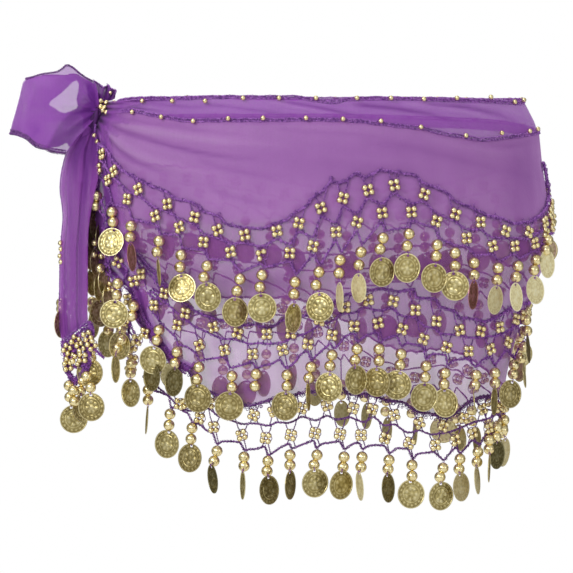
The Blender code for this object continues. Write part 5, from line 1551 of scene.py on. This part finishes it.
# ---------------------------------------------------------------------------------------------
# the cloth bunched towards the knot, and the edge that drops from it
# ---------------------------------------------------------------------------------------------
def bridge(name, left, right, cols, rows, ripple, tone, look, depth_left, out=1.3):
    """A pleated cloth between two lines of the elevation grid; the right one lies on the form."""
    t = np.linspace(0, 1, rows)
    line = lambda pts2: np.stack([np.interp(t, np.linspace(0, 1, len(pts2)), [q[i] for q in pts2]) for i in (0, 1)], -1)
    l2, r2 = line(left), line(right)
    u = np.linspace(0, 1, cols)
    pts, g2 = np.zeros((cols, rows, 3)), np.zeros((cols, rows, 2))
    for j in range(rows):
        y_right = from_grid(r2[j, 0], r2[j, 1], out * MM)[2]
        if depth_left is None:
            y_left = from_grid(l2[j, 0], l2[j, 1], out * MM)[2] - 2.0 * MM
        else:
            y_left = float(np.interp(t[j], np.linspace(0, 1, len(depth_left)), depth_left)) * MM
        for i in range(cols):
            q = l2[j] * (1 - u[i]) + r2[j] * u[i]
            y = y_left + (y_right - y_left) * u[i] ** 0.8
            if u[i] > 0.4:
                y = min(y, from_grid(q[0], q[1], out * MM)[2])
            pts[i, j] = at_depth(q[0], q[1], y - ripple(u[i], t[j]) * MM)
            g2[i, j] = q
    fold_and_shade = np.array([[tone(a, b) for b in t] for a in u])
    o = sheet_mesh(name, pts, g2 * GRID, fold_and_shade, fold_and_shade * 0, look)
    o["columns"], o["rows"] = cols, rows
    return o


# The gathered neck's tone: painted shade in the pleats' troughs, deepening towards the knot; towards the right it thins
# out.
neck = bridge(
    "knot_gather_cloth",
    [(107, 101.5), (105.5, 104.5), (104, 108), (102.5, 112), (100.5, 116), (98.5, 120), (97, 124), (96, 130)],
    [(138, 99.2), (139, 104), (137, 109.5), (134, 117), (126, 128), (117, 138), (110, 147), (106, 156)],
    32, 72, lambda u, t: 1.4 * (1 - u) ** 1.4 * math.sin(t * 34 + 0.5) + 0.5 * (1 - u) ** 1.4 * math.sin(t * 77),
    lambda u, t: (0.10 - 0.42 * math.sin(t * 34 + 0.5)) * (1 - u) ** 1.3 + 1.25 * (1 - u) ** 5 - 3.1 * max(0.0, u - (0.5 if t < 0.35 else 0.3)) / 0.5 * (0.8 + 0.3 * math.sin(t * 34)), CHIFFON_NECK_SHADE, [-9, -11, -12, -13, -13, -13, -12, -11],
)
# The dropped edge's tone: painted shade in the pleats' troughs and at its upper left by the knot; towards the right it
# thins out.
drop_edge = bridge(
    "gathered_edge_cloth",
    [(95, 122), (94, 140), (92, 165), (90, 190), (89.5, 207), (89.5, 225), (91, 243), (96, 262), (112, 277), (127, 287), (131, 302), (135, 320), (147, 337), (160, 353), (173, 366), (186, 372)],
    [(108, 126), (112, 145), (117, 165), (121, 190), (126, 212), (131, 236), (137, 256), (142, 272), (146, 284), (149, 296), (153, 308), (158, 321), (166, 335), (176, 349), (186, 359), (196, 364)],
    22, 120, lambda u, t: (0.5 * math.sin(u * 19 + 2 * t) + 0.3 * math.sin(u * 31 - 5 * t)) * math.sin(math.pi * u),
    lambda u, t: 0.85 - 0.45 * math.sin(u * 19 + 2 * t) - 3.4 * max(0.0, u - 0.62) / 0.38 + 4.5 * max(0.0, 0.25 - u) * max(0.0, 1 - t / 0.35), CHIFFON_LAP, None, out=1.5,
)

cols, rows = 30, 56
t = np.linspace(0, 1, rows)
high, low_z = float(top_edge(254.0)) + 0.4 * MM, float(second_edge(254.0)) - 24.0 * MM
base = on_form(np.full(rows, 254.0), high + (low_z - high) * t, 1.3 * MM)
mid_ring = on_form(np.full(rows, 263.5), high * 0.8 - 1.5 * MM + (low_z * 0.72 - high * 0.8) * t, 1.6 * MM)
tip = KNOT + np.stack([-1.5 + 2.0 * np.cos(t * 9), 6.5 + 0 * t, 6.5 - 14.0 * t], -1) * MM
u = np.linspace(0, 1, cols)[:, None, None]
pts = base[None] * (1 - u) ** 2 + 2 * mid_ring[None] * u * (1 - u) + tip[None] * u**2
wave = (np.sin(t * 31 + 0.4) * 1.1 + 0.5 * np.sin(t * 70))[None] * (u[..., 0] ** 1.3) * MM
pts[..., 0] -= wave
# The neck's back: painted shade in the pleats' troughs, deepening towards the knot; near its base it thins out.
fold_and_shade = (0.12 - 0.42 * np.sin(t * 31 + 0.4))[None] * u[..., 0] ** 1.2 + 1.1 * u[..., 0] ** 5 - 3.2 * np.clip((0.45 - u[..., 0]) / 0.45, 0, 1)
run = np.stack([np.repeat(u[:, :, 0] * 0.04, rows, 1), np.repeat(t[None] * 0.04, cols, 0)], -1)
neck_back = sheet_mesh("knot_gather_back_cloth", pts, run, fold_and_shade, fold_and_shade * 0, CHIFFON_NECK_SHADE)
neck_back["columns"], neck_back["rows"] = cols, rows

# ---------------------------------------------------------------------------------------------
# the gathered ends of the tiers between the tail and the front
# ---------------------------------------------------------------------------------------------
yarns, small, big, coins, threads = Pile(), Pile(), Pile(), Pile(), Pile()
GATHER = [
    ((118, 276), (117.7, 283.6), (116.7, 295), (114, 314), 0.2, 13.0),
    ((101, 284), (101, 291), (101, 299), (100.6, 313), -0.3, 6.0),
    ((92, 296), (92, 302), (93, 309), (94, 324), 1.1, 4.0),
    ((132, 297), (133.7, 306.4), (132, 315.7), None, 0, 9.0),
    ((109, 318), (109, 322), (108.5, 330), (107.7, 343.6), -0.45, 5.0),
    ((121, 324), (121.5, 329), (121, 334), (119.5, 345.7), -0.35, 8.0),
    ((121, 333), (121.6, 340), (117.7, 347.9), (116, 368.6), 1.2, 14.0),
    ((131, 354), (131.3, 363.6), (130.6, 373), (130.9, 392.9), 0.8, 6.0),
    ((152, 350), (153, 356), (152.5, 363), (152, 377), 0.9, 1.5),
]
for x, y, of_size in ((94.6, 243, 1.15), (94, 254.6, 1.15), (101.5, 256, 1.2), (105.5, 256, 0.9), (100, 268.5, 1.9), (107, 249, 0.8), (109, 264, 0.9), (113, 258, 0.9)):
    instances(small, SMALL_BEAD, [at_depth(x, y, -26 * MM)], [bead_turn(rng.standard_normal(3))], [of_size])
for x, y in ((112, 287), (118, 262), (106, 300), (129, 299), (134, 281), (145.6, 333), (137, 340), (128, 352), (126, 322), (120, 338), (133, 347), (134, 360), (131, 369)):
    cluster(small, yarns, place(x, y, 4.6 * MM), math.radians(rng.uniform(-40, 40)), SMALL_BEAD, facing=(rng.uniform(-0.8, 0.0), -1, 0))
for pts2 in (
    [(96, 188), (101, 200), (106, 212), (103, 226), (108, 240), (104, 252), (110, 268), (112, 280), (121, 290), (118, 304), (124, 316), (130, 330)],
    [(97, 190), (92, 204), (96, 220), (90, 234), (97, 248), (92, 262), (99, 276), (94, 290), (102, 300), (98, 312)],
    [(112, 200), (106, 208), (115, 220), (110, 232), (121, 246), (116, 258), (128, 270), (122, 284), (134, 296), (131, 312), (140, 324)],
    [(112, 296), (118, 312), (126, 326), (137, 342)],
    [(120, 300), (124, 314), (133, 330), (141, 346)],
    [(124, 306), (131, 318), (128, 334), (134, 350)],
    [(116, 330), (122, 341), (128, 356), (131, 372)],
    [(134, 312), (127, 324), (120, 336), (124, 350)],
    [(104, 196), (99, 210), (108, 222), (100, 240), (112, 254), (105, 270), (118, 284), (110, 298), (122, 310), (116, 322), (128, 336), (132, 352)],
):
    line = front_line(pts2, 3.6 * MM)
    yarn(yarns, line, thick=0.5 * MM, spin=0.7 * MM, sides=3, step=0.9 * MM)
    picots(yarns, line, every=4.2 * MM, size=1.4 * MM, facing=(-0.4, -1, 0))
for base, last in ((TIER[2]["top"], 190), (TIER[3]["top"], 196), (TIER[2]["mid"], 176)):
    near = [q for q in base if q[0] < last]
    for dx, dy in ((-3.2, 2.2), (2.6, -1.6)):
        line = front_line([(x + dx, y + dy + 0.8 * math.sin(0.4 * x)) for x, y in near], 2.6 * MM)
        yarn(yarns, line, thick=0.5 * MM, spin=0.75 * MM, sides=4, step=0.85 * MM, fuzz=0.2 * MM)
        picots(yarns, line, every=3.2 * MM, size=1.5 * MM)
# Coins edge-on behind the tail's right edge; those above row 245 are darker as the tail's painted shadow.
for x, y, yaw, deep in ((93, 218, 1.25, -9), (97, 226, 1.1, -13), (91.5, 236, 1.35, -11), (100, 238, 1.3, -17), (96, 262, 1.2, -14), (92.5, 282, 1.15, -12), (98.5, 287, 1.3, -17), (104, 281, 1.2, -22), (89.5, 256, 1.35, -8), (108, 297, 1.25, -22)):
    c = at_depth(x, y, deep * MM)
    v, f, e = COINS[int(rng.integers(3))]
    coins.add(v @ turned_to(yaw, rng.uniform(-0.2, 0.2)).T + c, list(f), e, rng.uniform(0.30, 0.50) if y < 245 else rng.uniform(0.85, 1.0))
    thread(threads, c + np.array([0, 0, 0.9 * COIN_R]), c + np.array([0.5 * MM, 0, COIN_R + 9 * MM]))
for top, b1, b2, c, yaw, out in GATHER:
    t0 = place(*top, 4.0 * MM)
    hung = t0[2]
    p1, p2 = place(*b1, (out + 1.0) * MM, hung), place(*b2, (out + 1.0) * MM, hung)
    if c is None:
        strung(threads, big, coins, t0, p1, p2, None, None, 0, BIG_BEAD, COINS)
        continue
    pc = place(*c, (out + (4.0 if abs(yaw) < 0.5 else 8.0)) * MM, hung)
    lean = math.atan2(p2[0] - pc[0], max(1e-4, p2[2] - pc[2]))
    strung(threads, big, coins, t0, p1, p2, pc, turned_to(-abs(yaw) if yaw > 0.5 else yaw - 0.3, lean * 0.7), int(rng.integers(3)), BIG_BEAD, COINS, wear_and_shade=0.36 if c[0] > 145 else None)
make("gathered_yarn", yarns, YARN_MID, replaces=["gathered_net"])
make("gathered_small_beads", small, BEAD)
make("gathered_large_beads", big, BEAD)
make("gathered_threads", threads, YARN)
make("gathered_coins", coins, COIN, replaces=["gathered_coin_fringe"], attribute="relief", smooth_angle=42)

# ---------------------------------------------------------------------------------------------
# room, light and floor
# ---------------------------------------------------------------------------------------------
scene = bpy.context.scene
scene.view_settings.view_transform = "Standard"
scene.view_settings.look = "None"
scene.render.film_transparent = False
world = bpy.data.worlds.new("studio")
scene.world = world
world.use_nodes = True
nt = world.node_tree
nt.nodes.clear()
out = nt.nodes.new("ShaderNodeOutputWorld")
path = nt.nodes.new("ShaderNodeLightPath")
seen, unseen = nt.nodes.new("ShaderNodeBackground"), nt.nodes.new("ShaderNodeBackground")
seen.inputs["Color"].default_value = (1, 1, 1, 1)
seen.inputs["Strength"].default_value = 1.0
unseen.inputs["Color"].default_value = (1.0, 0.98, 0.95, 1)
look_at = nt.nodes.new("ShaderNodeTexCoord")
axes = nt.nodes.new("ShaderNodeVectorMath")
axes.operation = "DOT_PRODUCT"
axes.inputs[1].default_value = (0.0, -0.5, 0.75)
rise = nt.nodes.new("ShaderNodeMapRange")
rise.inputs["From Min"].default_value, rise.inputs["From Max"].default_value = -0.8, 0.8
rise.inputs["To Min"].default_value, rise.inputs["To Max"].default_value = 0.03, 0.53
nt.links.new(look_at.outputs["Generated"], axes.inputs[0])
nt.links.new(axes.outputs["Value"], rise.inputs["Value"])
nt.links.new(rise.outputs["Result"], unseen.inputs["Strength"])
mix = nt.nodes.new("ShaderNodeMixShader")
nt.links.new(path.outputs["Is Camera Ray"], mix.inputs["Fac"])
nt.links.new(unseen.outputs[0], mix.inputs[1])
nt.links.new(seen.outputs[0], mix.inputs[2])
nt.links.new(mix.outputs[0], out.inputs["Surface"])


def lamp(name, at, target, size, watts, colour=(1, 1, 1)):
    d = bpy.data.lights.new(name, "AREA")
    d.shape, d.size, d.energy, d.color = "SQUARE", size, watts, colour
    o = bpy.data.objects.new(name, d)
    o.location = at
    o.rotation_euler = (Vector(target) - Vector(at)).to_track_quat("-Z", "Y").to_euler()
    scene.collection.objects.link(o)
    return o


lamp("key", (-1.5, -1.7, 0.9), (0, 0, -0.15), 0.8, 19)
lamp("front", (-0.45, -2.6, 0.55), (0, 0, -0.15), 0.7, 9.5)
lamp("fill", (1.6, -1.4, 0.1), (0, 0, -0.15), 1.0, 4.0)
lamp("top", (-0.2, 0.2, 1.6), (0, 0, -0.1), 1.2, 8)
for name, at, watts in (("rim", (1.3, 0.7, 0.3), 8), ("rim_left", (-1.4, 0.8, 0.2), 4)):
    lamp(name, at, (0, 0, -0.15), 0.8, watts)
    bpy.data.objects[name].visible_glossy = False

floor_mesh = bpy.data.meshes.new("floor")
ring = [(2.2 * math.cos(i * math.pi / 32), 2.2 * math.sin(i * math.pi / 32), -0.75) for i in range(64)]
floor_mesh.from_pydata(ring, [], [list(range(64))])
floor = bpy.data.objects.new("floor", floor_mesh)
fm, fnt, fp = nodes_of("floor_pale")
fp.inputs["Base Color"].default_value = (0.82, 0.82, 0.82, 1)
fp.inputs["Roughness"].default_value = 0.8
floor_mesh.materials.append(fm)
scene.collection.objects.link(floor)
